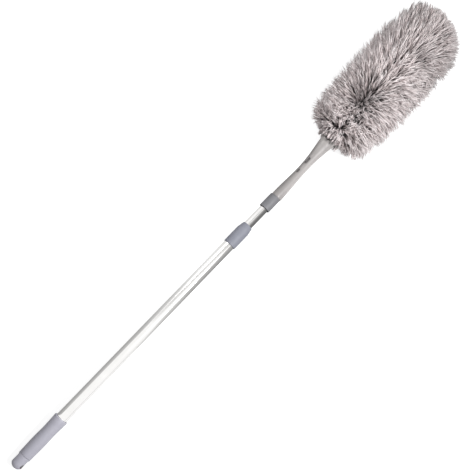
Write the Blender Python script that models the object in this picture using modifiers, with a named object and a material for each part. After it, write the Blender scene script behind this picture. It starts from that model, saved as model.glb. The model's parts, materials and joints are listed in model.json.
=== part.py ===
"""Extendable duster: a telescopic steel pole with a twist lock inside it, and a head
that pulls off the pole, with a washable sleeve of microfibre fringe on a wire core.

The duster is modelled upright, with its pole on local Z and the hang end at zero, and
an empty then lays it down as it rests on a table, on the rounded end of the grip and
on the underside of the pile. Lengths are in metres."""

import math
import random

import bmesh
import bpy
from mathutils import Matrix, Vector

# Clearances
GAP = 0.0003
TUBE_PLAY = 0.0003
END_ROOM = 0.004

# Grip and its end cap
CAP_LENGTH = 0.0233
CAP_R = 0.01055
CAP_SEAM_R = 0.0107
NOSE_FILLET = 0.0095
SPIGOT_LENGTH = 0.030
SPIGOT_WALL = 0.002
HANG_SLOT_Z = 0.0108
HANG_SLOT_LENGTH = 0.0100
HANG_SLOT_WIDTH = 0.0064
HANG_FLAT_DEPTH = 0.0011
HANG_FLAT_LENGTH = 0.0200
GRIP_LENGTH = 0.0747
GRIP_BELLY_R = 0.01135
GRIP_WAIST_R = 0.01085
GRIP_LIP_R = 0.0119
GRIP_BELLY_AT = 0.40
GRIP_WAIST_AT = 0.66
LIP_ROUND = 0.0012

# Telescopic tubes
OUTER_TUBE_R = 0.0095
OUTER_TUBE_WALL = 0.0006
OUTER_TUBE_LENGTH = 0.4762
INNER_TUBE_R = 0.0075
INNER_TUBE_WALL = 0.0006
SHOWN_LENGTH = 0.0388
SHUT_TRAVEL = 0.0360

# Collar on the outer tube's mouth, and the bush inside it
COLLAR_R = 0.0110
COLLAR_OVERLAP = 0.0300
COLLAR_CHAMFER = 0.0006
SHOULDER_RISE = 0.0015
NOSE_R = 0.00875
NOSE_STRAIGHT = 0.0016
CONE_LENGTH = 0.0122
BUSH_LENGTH = 0.025
BUSH_FLANGE = 0.003
BUSH_SLIT = 0.0012

# Twist lock
PLUG_LENGTH = 0.022
PLUG_FLANGE = 0.003
SCREW_R = 0.0025
SCREW_GRIP = 0.016
SCREW_HEAD_R = 0.0042
SCREW_HEAD = 0.0028
WASHER_R = 0.0074
WASHER_THICKNESS = 0.001
EXPANDER_LENGTH = 0.036
EXPANDER_WALL = 0.0014
EXPANDER_ROOT = 0.010
EXPANDER_SLOT = 0.0018
CONE_TALL = 0.014
CONE_DROP = 0.004
CONE_SLOPE = 0.10
KEY_WIDTH = 0.0010
KEY_DEPTH = 0.0008

# Ferrule on the pole's tip, and the socket inside it
FERRULE_R = 0.0097
FERRULE_LENGTH = 0.0268
FERRULE_CHAMFER = 0.0007
FERRULE_SKIRT = 0.004
FERRULE_WALL = 0.0011
FERRULE_TOP = 0.003
SOCKET_LENGTH = 0.040
SOCKET_FLANGE = 0.0022
SOCKET_WALL = 0.0010
HEAD_SPIGOT_SHORT = 0.001

# Neck of the head; each section is a share of its height, a half width and a side shift
NECK_LENGTH = 0.1337
NECK_SECTIONS = (
    (0.000, 0.0095, -0.0010),
    (0.155, 0.0090, -0.0008),
    (0.330, 0.0078, -0.0005),
    (0.505, 0.0072, -0.0001),
    (0.670, 0.0082, 0.0007),
    (0.835, 0.0107, 0.0014),
    (1.000, 0.0132, 0.0019),
)
NECK_MOUTH_FLAT = 0.82
NECK_WALL = 0.0019
NECK_FLOOR = 0.014
FLUTES = (math.radians(112), math.radians(138))
FLUTE_DEPTH = 0.0005
FLUTE_SPREAD = math.radians(9)
WINDOW_TURN = math.radians(58)
LOWER_WINDOW = (0.0567, 0.0078, 0.0046)
UPPER_WINDOW = (0.0799, 0.0128, 0.0052)
WINDOW_LUG_DROP = 0.0009
SCALLOP_R = 0.0075
SCALLOP_DEPTH = 0.0060

# Core of the head
WIRE_R = 0.002
LEG_OFFSET = 0.0080
LEG_ROOT_OFFSET = 0.0046
LEG_DEPTH = 0.010
LEG_SPREAD_LENGTH = 0.030
LEG_SPREAD_STEPS = 5
ROOT_DROP = 0.0015
ROOT_SHORT = 0.006
BRIDGE_THICKNESS = 0.005
BRIDGE_COUNT = 3
CAP_SKIRT = 0.018

# Sleeve: pocket, hem and the tapes of fringe sewn round it
POCKET_R = 0.0148
POCKET_WALL = 0.0008
HEM_HEIGHT = 0.0040
HEM_R = 0.0030
TAPE_THICKNESS = 0.0019
TAPE_HEIGHT = 0.0353
TAPE_COUNT = 7
TAPE_ROWS = 4
PILE_COLUMNS = 24

# Pile: outline, as shares of its length and of its radius, and the tufts in it
PILE_PAST_TAPES = 0.0379
PILE_R = 0.0672
PILE_OVERHANG = 0.0110
PILE_OUTLINE = (
    (0.000, 0.55), (0.034, 0.65), (0.081, 0.80), (0.130, 0.89), (0.196, 0.925), (0.279, 0.957),
    (0.378, 0.98), (0.511, 1.00), (0.643, 0.99), (0.742, 0.98), (0.808, 0.94), (0.858, 0.90),
    (0.894, 0.85), (0.924, 0.79), (0.944, 0.71), (0.974, 0.56), (0.987, 0.45), (1.000, 0.22),
)
LEAN_AT_HEM = math.radians(112)
LEAN_AT_TIP = math.radians(66)
LEAN_APEX = math.radians(9)
TUFT_BELLY_AT = 0.58
TUFT_HALF_WIDTH = 0.0042
TUFT_HALF_DEPTH = 0.0052
TUFT_ROOM = 0.80
DOME_SPACING = (2, 2, 4, 7)
TUFT_SCATTER = math.radians(1.6)
TUFT_UNEVEN = 0.07
SETTLED_REACH = 1.12

# Rest on a table
REST_STATION = 0.32
FLOOR_CUT = 0.0005

# Facets: sides of round pieces, segments of a rounded edge, and how much of a slot's
# width its round ends take
ROUND = 32
ROUND_INSIDE = 20
EDGE_SEGMENTS = 5
ROUND_END = 0.49
MERGE = 0.00001
SEED = 11

# Heights along the pole that follow from the sizes above
GRIP_LOW = CAP_LENGTH + GAP
TUBE_LOW = CAP_LENGTH + GAP
TUBE_TOP = TUBE_LOW + OUTER_TUBE_LENGTH
TUBE_BORE = OUTER_TUBE_R - OUTER_TUBE_WALL
SPIGOT_TOP = CAP_LENGTH + SPIGOT_LENGTH

FLANGE_LOW = TUBE_TOP + GAP
FLANGE_TOP = FLANGE_LOW + BUSH_FLANGE
COLLAR_LOW = TUBE_TOP - COLLAR_OVERLAP
COLLAR_CEILING = FLANGE_TOP + GAP
COLLAR_SHOULDER = TUBE_TOP + SHOULDER_RISE
COLLAR_TOP = COLLAR_SHOULDER + CONE_LENGTH
COLLAR_BORE = OUTER_TUBE_R + GAP
INNER_TUBE_CLEAR = INNER_TUBE_R + TUBE_PLAY

FERRULE_LOW = COLLAR_TOP + SHOWN_LENGTH
FERRULE_HIGH = FERRULE_LOW + FERRULE_LENGTH
FERRULE_CEILING = FERRULE_HIGH - FERRULE_TOP
SOCKET_TOP = FERRULE_CEILING - GAP
INNER_TOP = SOCKET_TOP - SOCKET_FLANGE - GAP
INNER_BORE = INNER_TUBE_R - INNER_TUBE_WALL
SOCKET_R = INNER_BORE - GAP
SOCKET_BORE = SOCKET_R - SOCKET_WALL
HEAD_SPIGOT_R = SOCKET_BORE - GAP

SCREW_BELOW_TUBE = (
    PLUG_FLANGE + GAP + EXPANDER_LENGTH + GAP + GAP + WASHER_THICKNESS + GAP + SCREW_HEAD + GAP
)
INNER_LOW = SPIGOT_TOP + END_ROOM + SHUT_TRAVEL + SCREW_BELOW_TUBE
PLUG_R = INNER_BORE - GAP
PLUG_LOW = INNER_LOW - GAP - PLUG_FLANGE
LOCK_R = TUBE_BORE - TUBE_PLAY
EXPANDER_TOP = PLUG_LOW - GAP
EXPANDER_LOW = EXPANDER_TOP - EXPANDER_LENGTH
WASHER_TOP = EXPANDER_LOW - GAP
WASHER_LOW = WASHER_TOP - WASHER_THICKNESS
SCREW_LOW = WASHER_LOW - GAP - SCREW_HEAD
SCREW_CLEAR = SCREW_R + GAP
CONE_TOP = EXPANDER_TOP - CONE_DROP
CONE_LOW = CONE_TOP - CONE_TALL
CONE_TOP_R = LOCK_R - EXPANDER_WALL - GAP

NECK_WAIST = min(NECK_SECTIONS, key=lambda section: section[1])
NECK_LOW = FERRULE_HIGH + GAP
NECK_TOP = NECK_LOW + NECK_LENGTH
SPIGOT_END = SOCKET_TOP - SOCKET_LENGTH + HEAD_SPIGOT_SHORT
SLEEVE_LOW = NECK_TOP + GAP
TAPES_LOW = SLEEVE_LOW + HEM_HEIGHT + GAP
TAPES_TOP = TAPES_LOW + TAPE_COUNT * (TAPE_HEIGHT + GAP)
POCKET_BORE = POCKET_R - POCKET_WALL
CORE_R = POCKET_BORE - GAP
TAPE_BORE = POCKET_R + GAP
TAPE_R = TAPE_BORE + TAPE_THICKNESS
BEND_Z = TAPES_TOP - LEG_OFFSET - WIRE_R - GAP
PILE_LOW = SLEEVE_LOW - PILE_OVERHANG
PILE_LENGTH = TAPES_TOP + PILE_PAST_TAPES - PILE_LOW
REST_Z = PILE_LOW + REST_STATION * PILE_LENGTH


def smooth_step(share):
    """0 to 1 with level ends."""
    return share * share * (3 - 2 * share)


def along(stations, place):
    """The value at this place on a smooth line through (place, value) stations."""
    places = [station[0] for station in stations]
    place = min(max(place, places[0]), places[-1])
    low = max(index for index in range(len(places) - 1) if places[index] <= place)

    def slope(index):
        before = stations[max(index - 1, 0)]
        after = stations[min(index + 1, len(stations) - 1)]
        return (after[1] - before[1]) / (after[0] - before[0])

    span = places[low + 1] - places[low]
    share = (place - places[low]) / span
    square = share * share
    cube = square * share
    return (
        (2 * cube - 3 * square + 1) * stations[low][1]
        + (cube - 2 * square + share) * span * slope(low)
        + (3 * square - 2 * cube) * stations[low + 1][1]
        + (cube - square) * span * slope(low + 1)
    )


def pile_radius(z):
    """Radius of the pile's outline at this height, and zero past its ends."""
    share = (z - PILE_LOW) / PILE_LENGTH
    return PILE_R * along(PILE_OUTLINE, share) if 0 <= share <= 1 else 0.0


def lying_pitch():
    """Tilt of the pole when the cap's rounded end and the pile both touch the table."""
    run = REST_Z - NOSE_FILLET
    drop = pile_radius(REST_Z) - (CAP_R - NOSE_FILLET)
    return math.atan2(drop, run) - math.asin((FLOOR_CUT + NOSE_FILLET) / math.hypot(run, drop))


PITCH = lying_pitch()
UP = Vector((0, math.cos(PITCH), math.sin(PITCH)))
AXIS_HEIGHT = NOSE_FILLET - (NOSE_FILLET * UP.z - (CAP_R - NOSE_FILLET) * UP.y)


def height_over_table(point):
    return UP.dot(point) + AXIS_HEIGHT


def new_collection(name, hidden=False):
    made = bpy.data.collections.new(name)
    made.hide_render = hidden
    bpy.context.scene.collection.children.link(made)
    return made


def finish(name, color, roughness, metallic=0.0):
    """A plain material; its color is linear."""
    made = bpy.data.materials.new(name)
    made.use_nodes = True
    shader = made.node_tree.nodes["Principled BSDF"]
    shader.inputs["Base Color"].default_value = (*color, 1)
    shader.inputs["Roughness"].default_value = roughness
    shader.inputs["Metallic"].default_value = metallic
    made.diffuse_color = (*color, 1)
    return made


def add_object(name, data, material=None, collection=None):
    made = bpy.data.objects.new(name, data)
    (collection or PIECES).objects.link(made)
    if material:
        data.materials.append(material)
    return made


def turned(name, profile, material, steps=ROUND, collection=None):
    """A solid turned round Z from (radius, height) points that run down its outer side.
    A profile that leaves the axis is closed into a ring."""
    points = [(radius, 0, height) for radius, height in profile]
    edges = [(index, index + 1) for index in range(len(points) - 1)]
    if profile[0][0] > 0 or profile[-1][0] > 0:
        edges.append((len(points) - 1, 0))
    mesh = bpy.data.meshes.new(name)
    mesh.from_pydata(points, edges, [])
    made = add_object(name, mesh, material, collection)
    screw = made.modifiers.new("turn", "SCREW")
    screw.axis = "Z"
    screw.steps = steps
    screw.render_steps = steps
    screw.use_merge_vertices = True
    screw.merge_threshold = MERGE
    return made


def mesh_of(made):
    """The object's evaluated mesh, with the object itself removed."""
    graph = bpy.context.evaluated_depsgraph_get()
    mesh = bpy.data.meshes.new_from_object(made.evaluated_get(graph))
    bpy.data.objects.remove(made, do_unlink=True)
    return mesh


def mesh_object(name, form, material=None, collection=None):
    mesh = bpy.data.meshes.new(name)
    form.to_mesh(mesh)
    form.free()
    return add_object(name, mesh, material, collection)


def as_cutter(made):
    for owner in list(made.users_collection):
        owner.objects.unlink(made)
    CUTTERS.objects.link(made)
    made.hide_render = True
    made.display_type = "WIRE"
    return made


def boolean(made, other, operation="DIFFERENCE"):
    """Cuts the piece with the other mesh, or joins them. The other one is its child."""
    other.parent = made
    step = made.modifiers.new(other.name, "BOOLEAN")
    step.operation = operation
    step.solver = "EXACT"
    step.object = other


def block(name, size, place, rounding=0.0, turn=0.0):
    """A box cutter, its edges along its own X rounded, turned about the pole."""
    form = bmesh.new()
    bmesh.ops.create_cube(form, size=1, matrix=Matrix.Diagonal((*size, 1)))
    if rounding:
        edges = [
            edge
            for edge in form.edges
            if abs(edge.verts[0].co.x - edge.verts[1].co.x) > size[0] / 2
        ]
        bmesh.ops.bevel(
            form, geom=edges, offset=rounding, segments=EDGE_SEGMENTS, affect="EDGES", profile=0.5
        )
    place = Matrix.Rotation(turn, 4, "Z") @ Matrix.Translation(place)
    bmesh.ops.transform(form, matrix=place, verts=form.verts)
    return as_cutter(mesh_object(name, form))


def rod(name, radius, low, high, x=0.0, y=0.0):
    """A round cutter along the pole."""
    form = bmesh.new()
    bmesh.ops.create_cone(
        form,
        cap_ends=True,
        segments=ROUND_INSIDE // 2,
        radius1=radius,
        radius2=radius,
        depth=high - low,
        matrix=Matrix.Translation((x, y, (low + high) / 2)),
    )
    return as_cutter(mesh_object(name, form))


def arc(center_r, center_z, radius, start, end, count):
    """Points of an arc in the (radius, height) plane, angles in degrees from outwards."""
    angles = [math.radians(start + (end - start) * step / count) for step in range(count + 1)]
    return [(center_r + radius * math.cos(a), center_z + radius * math.sin(a)) for a in angles]


def build_end_cap(grey):
    """Rounded cap: its spigot plugs the tube, and the hang slot crosses its nose."""
    spigot_r = TUBE_BORE - GAP
    profile = [
        (spigot_r - SPIGOT_WALL, SPIGOT_TOP),
        (spigot_r - GAP, SPIGOT_TOP),
        (spigot_r, SPIGOT_TOP - 2 * GAP),
        (spigot_r, CAP_LENGTH),
        (CAP_SEAM_R - GAP, CAP_LENGTH),
        (CAP_SEAM_R, CAP_LENGTH - GAP),
        *arc(CAP_R - NOSE_FILLET, NOSE_FILLET, NOSE_FILLET, 0, -90, 6),
        (0, 0),
    ]
    bore_floor = CAP_LENGTH + SPIGOT_WALL
    profile = [(0, bore_floor), (spigot_r - SPIGOT_WALL, bore_floor), *profile]
    cap = turned("grip_end_cap", profile, grey)
    place = (0, 0, HANG_SLOT_Z)
    slot_size = (4 * CAP_R, HANG_SLOT_WIDTH, HANG_SLOT_LENGTH)
    boolean(cap, block("hang_slot", slot_size, place, rounding=ROUND_END * HANG_SLOT_WIDTH))
    flat_size = (CAP_R, 2 * CAP_R, HANG_FLAT_LENGTH)
    flat_x = CAP_R - HANG_FLAT_DEPTH + flat_size[0] / 2
    for side in (-1, 1):
        boolean(cap, block(f"hang_flat_{side}", flat_size, (side * flat_x, 0, HANG_SLOT_Z)))
    return cap


def build_hand_grip(grey):
    """Sleeve with a belly, a waist and a flared lip, slipped over the tube."""
    waves = (
        (0.0, CAP_SEAM_R),
        (GRIP_BELLY_AT, GRIP_BELLY_R),
        (GRIP_WAIST_AT, GRIP_WAIST_R),
        (1.0, GRIP_LIP_R),
    )
    bore = OUTER_TUBE_R + GAP
    top = GRIP_LOW + GRIP_LENGTH
    outer = [
        (along(waves, share), GRIP_LOW + share * (GRIP_LENGTH - LIP_ROUND))
        for share in [step / 10 for step in range(10, -1, -1)]
    ]
    lip = arc(GRIP_LIP_R - LIP_ROUND, top - LIP_ROUND, LIP_ROUND, 90, 0, 3)
    foot = [(CAP_SEAM_R - GAP, GRIP_LOW), (bore, GRIP_LOW)]
    outer[-1] = (CAP_SEAM_R, GRIP_LOW + GAP)
    return turned("hand_grip", [(bore, top), *lip[:-1], *outer, *foot], grey)


def tube(name, radius, wall, low, high, material, steps=ROUND):
    profile = [(radius - wall, high), (radius, high), (radius, low), (radius - wall, low)]
    return turned(name, profile, material, steps)


def build_collar(grey):
    """Collar with a cone nose, pressed over the outer tube's mouth."""
    profile = [
        (INNER_TUBE_CLEAR, COLLAR_TOP),
        (NOSE_R - COLLAR_CHAMFER, COLLAR_TOP),
        (NOSE_R, COLLAR_TOP - COLLAR_CHAMFER),
        (NOSE_R + COLLAR_CHAMFER / 2, COLLAR_TOP - NOSE_STRAIGHT),
        (COLLAR_R - COLLAR_CHAMFER / 2, COLLAR_SHOULDER + COLLAR_CHAMFER),
        (COLLAR_R, COLLAR_SHOULDER - COLLAR_CHAMFER),
        (COLLAR_R, COLLAR_LOW + COLLAR_CHAMFER),
        (COLLAR_R - COLLAR_CHAMFER, COLLAR_LOW),
        (COLLAR_BORE, COLLAR_LOW),
        (COLLAR_BORE, COLLAR_CEILING),
        (INNER_TUBE_CLEAR, COLLAR_CEILING),
    ]
    return turned("collar", profile, grey)


def build_guide_bush(pale):
    """Split bush: its flange sits on the outer tube's end, its barrel fills the gap."""
    barrel = TUBE_BORE - GAP
    profile = [
        (INNER_TUBE_CLEAR, FLANGE_TOP),
        (OUTER_TUBE_R, FLANGE_TOP),
        (OUTER_TUBE_R, FLANGE_LOW),
        (barrel, FLANGE_LOW),
        (barrel, TUBE_TOP - BUSH_LENGTH),
        (INNER_TUBE_CLEAR, TUBE_TOP - BUSH_LENGTH),
    ]
    bush = turned("guide_bush", profile, pale, ROUND_INSIDE)
    tall = 2 * (BUSH_LENGTH + BUSH_FLANGE)
    place = (OUTER_TUBE_R, 0, FLANGE_TOP - tall / 4)
    boolean(bush, block("bush_slit", (2 * OUTER_TUBE_R, BUSH_SLIT, tall), place))
    return bush


def build_lock_plug(pale):
    """Plug pressed into the inner tube's end; its flange spaces the tube in the other."""
    profile = [
        (0, INNER_LOW + PLUG_LENGTH),
        (PLUG_R - 2 * GAP, INNER_LOW + PLUG_LENGTH),
        (PLUG_R, INNER_LOW + PLUG_LENGTH - 4 * GAP),
        (PLUG_R, INNER_LOW - GAP),
        (LOCK_R, INNER_LOW - GAP),
        (LOCK_R, PLUG_LOW),
        (SCREW_CLEAR, PLUG_LOW),
        (SCREW_CLEAR, INNER_LOW + SCREW_GRIP + GAP),
        (0, INNER_LOW + SCREW_GRIP + GAP),
    ]
    return turned("lock_plug", profile, pale, ROUND_INSIDE)


def build_lock_spindle(steel):
    """Headed screw that hangs from the plug and carries the cone and the expander."""
    profile = [
        (0, INNER_LOW + SCREW_GRIP),
        (SCREW_R - GAP, INNER_LOW + SCREW_GRIP),
        (SCREW_R, INNER_LOW + SCREW_GRIP - GAP),
        (SCREW_R, WASHER_LOW - GAP),
        (SCREW_HEAD_R, WASHER_LOW - GAP),
        (SCREW_HEAD_R, SCREW_LOW + 2 * GAP),
        (SCREW_HEAD_R - 2 * GAP, SCREW_LOW),
        (0, SCREW_LOW),
    ]
    return turned("lock_spindle", profile, steel, ROUND_INSIDE // 2)


def build_spindle_stop(steel):
    """Washer between the screw's head and the expander."""
    wall = WASHER_R - SCREW_CLEAR
    return tube("spindle_stop", WASHER_R, wall, WASHER_LOW, WASHER_TOP, steel, ROUND_INSIDE)


def expander_bore(z):
    """Radius of the expander's tapered bore, which the cone's taper matches."""
    return CONE_TOP_R + GAP - (CONE_TOP - z) * CONE_SLOPE


def build_expander_sleeve(pale):
    """Sleeve split into four fingers, which the cone spreads against the tube."""
    finger_root = EXPANDER_LOW + EXPANDER_ROOT
    profile = [
        (expander_bore(EXPANDER_TOP), EXPANDER_TOP),
        (LOCK_R - 2 * GAP, EXPANDER_TOP),
        (LOCK_R, EXPANDER_TOP - 3 * GAP),
        (LOCK_R, EXPANDER_LOW + 3 * GAP),
        (LOCK_R - 2 * GAP, EXPANDER_LOW),
        (SCREW_CLEAR, EXPANDER_LOW),
        (SCREW_CLEAR, finger_root),
        (expander_bore(CONE_LOW) - GAP, finger_root + 2 * GAP),
        (expander_bore(CONE_LOW), CONE_LOW - 4 * GAP),
    ]
    sleeve = turned("expander_sleeve", profile, pale, ROUND_INSIDE)
    slot_low = (finger_root + CONE_LOW) / 2
    tall = 2 * (EXPANDER_TOP - slot_low)
    for index, turn in enumerate((0, math.pi / 2)):
        size = (4 * LOCK_R, EXPANDER_SLOT, tall)
        boolean(sleeve, block(f"finger_slot_{index}", size, (0, 0, EXPANDER_TOP), turn=turn))
    return sleeve


def build_lock_cone(pale):
    """Tapered nut with four keys that run in the expander's slots."""
    low_r = CONE_TOP_R - CONE_TALL * CONE_SLOPE
    profile = [(0, CONE_TOP), (CONE_TOP_R, CONE_TOP), (low_r, CONE_LOW), (0, CONE_LOW)]
    cone = turned("lock_cone", profile, pale, ROUND_INSIDE)
    reach = 2 * (CONE_TOP_R + KEY_DEPTH)
    tall = CONE_TALL - 4 * GAP
    middle = (CONE_TOP + CONE_LOW) / 2
    for index, turn in enumerate((0, math.pi / 2)):
        key = block(f"cone_key_{index}", (reach, KEY_WIDTH, tall), (0, 0, middle), turn=turn)
        boolean(cone, key, "UNION")
    boolean(cone, rod("cone_bore", SCREW_CLEAR, CONE_LOW - CONE_TALL, CONE_TOP + CONE_TALL))
    return cone


def build_ferrule(grey):
    """Sleeve on the pole's tip, with a hollow skirt below and a collar lip on top."""
    skirt_bore = FERRULE_R - FERRULE_WALL
    profile = [
        (SOCKET_BORE, FERRULE_HIGH),
        (FERRULE_R - FERRULE_CHAMFER, FERRULE_HIGH),
        (FERRULE_R, FERRULE_HIGH - FERRULE_CHAMFER),
        (FERRULE_R, FERRULE_LOW + GAP),
        (FERRULE_R - GAP, FERRULE_LOW),
        (skirt_bore, FERRULE_LOW),
        (skirt_bore, FERRULE_LOW + FERRULE_SKIRT - FERRULE_WALL),
        (INNER_TUBE_R + GAP, FERRULE_LOW + FERRULE_SKIRT),
        (INNER_TUBE_R + GAP, FERRULE_CEILING),
        (SOCKET_BORE, FERRULE_CEILING),
    ]
    return turned("ferrule", profile, grey)


def build_socket_insert(pale):
    """Flanged insert in the inner tube that takes the head's spigot."""
    profile = [
        (SOCKET_BORE, SOCKET_TOP),
        (INNER_TUBE_R, SOCKET_TOP),
        (INNER_TUBE_R, SOCKET_TOP - SOCKET_FLANGE),
        (SOCKET_R, SOCKET_TOP - SOCKET_FLANGE),
        (SOCKET_R, SOCKET_TOP - SOCKET_LENGTH),
        (SOCKET_BORE, SOCKET_TOP - SOCKET_LENGTH),
    ]
    return turned("socket_insert", profile, pale, ROUND_INSIDE)


def neck_section(z, inset=0.0, fluted=False):
    """Points round the neck at this height: an ellipse that sweeps to one side as it
    flares, with flutes down its front where fluted."""
    share = (z - NECK_LOW) / NECK_LENGTH
    width = along([(place, half) for place, half, _ in NECK_SECTIONS], share) - inset
    shift = along([(place, side) for place, _, side in NECK_SECTIONS], share)
    flare = max(share - NECK_WAIST[0], 0) / (1 - NECK_WAIST[0])
    depth = width * (1 - (1 - NECK_MOUTH_FLAT) * smooth_step(flare))
    points = []
    for step in range(ROUND):
        angle = 2 * math.pi * step / ROUND
        groove = 0.0
        if fluted:
            for flute in FLUTES:
                groove += FLUTE_DEPTH * math.exp(-(((angle - flute) / FLUTE_SPREAD) ** 2))
        x = shift + (width - groove) * math.cos(angle)
        y = (depth - groove) * math.sin(angle)
        points.append(Vector((x, y, z)))
    return points


def neck_reach(z, turn):
    """Distance from the pole's axis to the neck's outside at this height and turn."""
    return neck_section(z)[round(turn / (2 * math.pi) * ROUND)].xy.length


def circle_section(radius, z):
    angles = [2 * math.pi * step / ROUND for step in range(ROUND)]
    return [Vector((radius * math.cos(a), radius * math.sin(a), z)) for a in angles]


def loft(name, sections, material):
    """Skin from ring to ring, with the first and last rings capped."""
    form = bmesh.new()
    rings = [[form.verts.new(point) for point in section] for section in sections]
    count = len(rings[0])
    for lower, upper in zip(rings, rings[1:]):
        for step in range(count):
            after = (step + 1) % count
            form.faces.new((lower[step], lower[after], upper[after], upper[step]))
    form.faces.new(list(reversed(rings[0])))
    form.faces.new(rings[-1])
    made = mesh_object(name, form, material)
    made.data.shade_smooth()
    made.data.set_sharp_from_angle(angle=math.radians(35))
    return made


def window_block(name, window, grow, reach):
    """A rounded block through the neck's wall at a window's place."""
    place, length, width = window
    size = (reach, width + 2 * grow, length + 2 * grow)
    middle = (reach / 2 + NECK_WALL, 0, NECK_LOW + place)
    rounding = ROUND_END * (width + 2 * grow)
    return block(name, size, middle, rounding=rounding, turn=WINDOW_TURN)


def build_neck(grey):
    """Hollow neck: spigot, fluted flare, two snap windows and a scalloped mouth."""
    floor = NECK_LOW + NECK_FLOOR
    outside = [NECK_LOW + NECK_LENGTH * step / 15 for step in range(16)]
    inside = [floor + (NECK_TOP - floor) * step / 7 for step in range(7, -1, -1)]
    sections = [
        circle_section(HEAD_SPIGOT_R - 2 * GAP, SPIGOT_END),
        circle_section(HEAD_SPIGOT_R, SPIGOT_END + 3 * GAP),
        circle_section(HEAD_SPIGOT_R, NECK_LOW),
        neck_section(NECK_LOW, inset=GAP),
        *[neck_section(z, fluted=True) for z in outside[1:-1]],
        neck_section(NECK_TOP - GAP, fluted=True),
        neck_section(NECK_TOP, inset=GAP),
        *[neck_section(z, inset=NECK_WALL) for z in inside],
    ]
    neck = loft("neck", sections, grey)
    for name, window in (("lower_window", LOWER_WINDOW), ("upper_window", UPPER_WINDOW)):
        boolean(neck, window_block(name, window, 0.0, 2 * NECK_WAIST[1]))
    form = bmesh.new()
    bmesh.ops.create_icosphere(form, subdivisions=2, radius=SCALLOP_R)
    rim = neck_reach(NECK_TOP, WINDOW_TURN)
    middle = Vector((rim, 0, NECK_TOP + SCALLOP_R - SCALLOP_DEPTH))
    place = Matrix.Rotation(WINDOW_TURN, 4, "Z") @ Matrix.Translation(middle)
    bmesh.ops.transform(form, matrix=place, verts=form.verts)
    boolean(neck, as_cutter(mesh_object("mouth_scallop", form)))
    return neck


def build_core_root(dark):
    """Block that fills the neck's bore, snaps into its windows and grips the wire."""
    low = NECK_LOW + NECK_FLOOR + ROOT_SHORT
    high = NECK_TOP - ROOT_DROP - SCALLOP_DEPTH
    heights = [low + (high - low) * step / 6 for step in range(7)]
    sections = [neck_section(z, inset=NECK_WALL + GAP) for z in heights]
    root = loft("core_root", sections, dark)
    for name, window in (("lower_lug", LOWER_WINDOW), ("upper_lug", UPPER_WINDOW)):
        reach = neck_reach(NECK_LOW + window[0], WINDOW_TURN) - NECK_WALL - WINDOW_LUG_DROP
        lug = window_block(name, window, -GAP, reach)
        boolean(root, lug, "UNION")
    cut_wire_holes(root, "root", LEG_ROOT_OFFSET, high - LEG_DEPTH - GAP, high + LEG_DEPTH)
    return root


def cut_wire_holes(made, name, offset, low, high):
    """Bores the holes that the wire's two legs pass through."""
    for side in (-1, 1):
        boolean(made, rod(f"{name}_bore_{side}", WIRE_R + GAP, low, high, x=side * offset))


def build_core_wire(steel):
    """Hairpin of coated wire: two legs that spread above the neck, and a round bend."""
    root_top = NECK_TOP - ROOT_DROP - SCALLOP_DEPTH
    leg = [(LEG_ROOT_OFFSET, root_top - LEG_DEPTH)]
    for step in range(LEG_SPREAD_STEPS + 1):
        share = step / LEG_SPREAD_STEPS
        x = LEG_ROOT_OFFSET + (LEG_OFFSET - LEG_ROOT_OFFSET) * smooth_step(share)
        leg.append((x, root_top + LEG_SPREAD_LENGTH * share))
    bend = arc(0, BEND_Z, LEG_OFFSET, 0, 180, 10)
    points = [*leg, *bend, *[(-x, z) for x, z in reversed(leg)]]
    curve = bpy.data.curves.new("core_wire", "CURVE")
    curve.dimensions = "3D"
    curve.bevel_depth = WIRE_R
    curve.bevel_resolution = 2
    curve.use_fill_caps = True
    line = curve.splines.new("POLY")
    line.points.add(len(points) - 1)
    for point, (x, z) in zip(line.points, points):
        point.co = (x, 0, z, 1)
    return add_object("core_wire", curve, steel)


def build_core_bridges(pale):
    """Clips that hold the legs apart and carry the pocket."""
    made = []
    for index in range(BRIDGE_COUNT):
        share = (index + 0.5) / BRIDGE_COUNT
        low = TAPES_LOW + share * (TAPES_TOP - CAP_SKIRT - TAPES_LOW)
        high = low + BRIDGE_THICKNESS
        profile = [
            (0, high),
            (CORE_R - 3 * GAP, high),
            (CORE_R, high - 3 * GAP),
            (CORE_R, low),
            (0, low),
        ]
        bridge = turned(f"core_bridge_{index + 1}", profile, pale, ROUND_INSIDE)
        past = 2 * BRIDGE_THICKNESS
        cut_wire_holes(bridge, f"bridge_{index}", LEG_OFFSET, low - past, high + past)
        made.append(bridge)
    return made


def build_tip_cap(pale):
    """Rounded cap over the wire's bend."""
    bore = LEG_OFFSET + WIRE_R + GAP
    ceiling = BEND_Z + bore
    dome_z = TAPES_TOP
    profile = [
        *reversed(arc(0, dome_z, CORE_R, 0, 90, 4)),
        (CORE_R, TAPES_TOP - CAP_SKIRT),
        (bore, TAPES_TOP - CAP_SKIRT),
        (bore, ceiling - 2 * WIRE_R),
        (bore - WIRE_R, ceiling),
        (0, ceiling),
    ]
    profile[0] = (0, dome_z + CORE_R)
    return turned("tip_cap", profile, pale, ROUND_INSIDE)


def build_sleeve_pocket(cloth):
    """Fabric tube, closed by a dome, that slips over the core."""
    outer = list(reversed(arc(0, TAPES_TOP, POCKET_R, 0, 90, 4)))
    inner = arc(0, TAPES_TOP, POCKET_BORE, 0, 90, 4)
    outer[0] = (0, TAPES_TOP + POCKET_R)
    inner[-1] = (0, TAPES_TOP + POCKET_BORE)
    profile = [*outer, (POCKET_R, SLEEVE_LOW), (POCKET_BORE, SLEEVE_LOW), *inner]
    return turned("sleeve_pocket", profile, cloth, PILE_COLUMNS)


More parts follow.
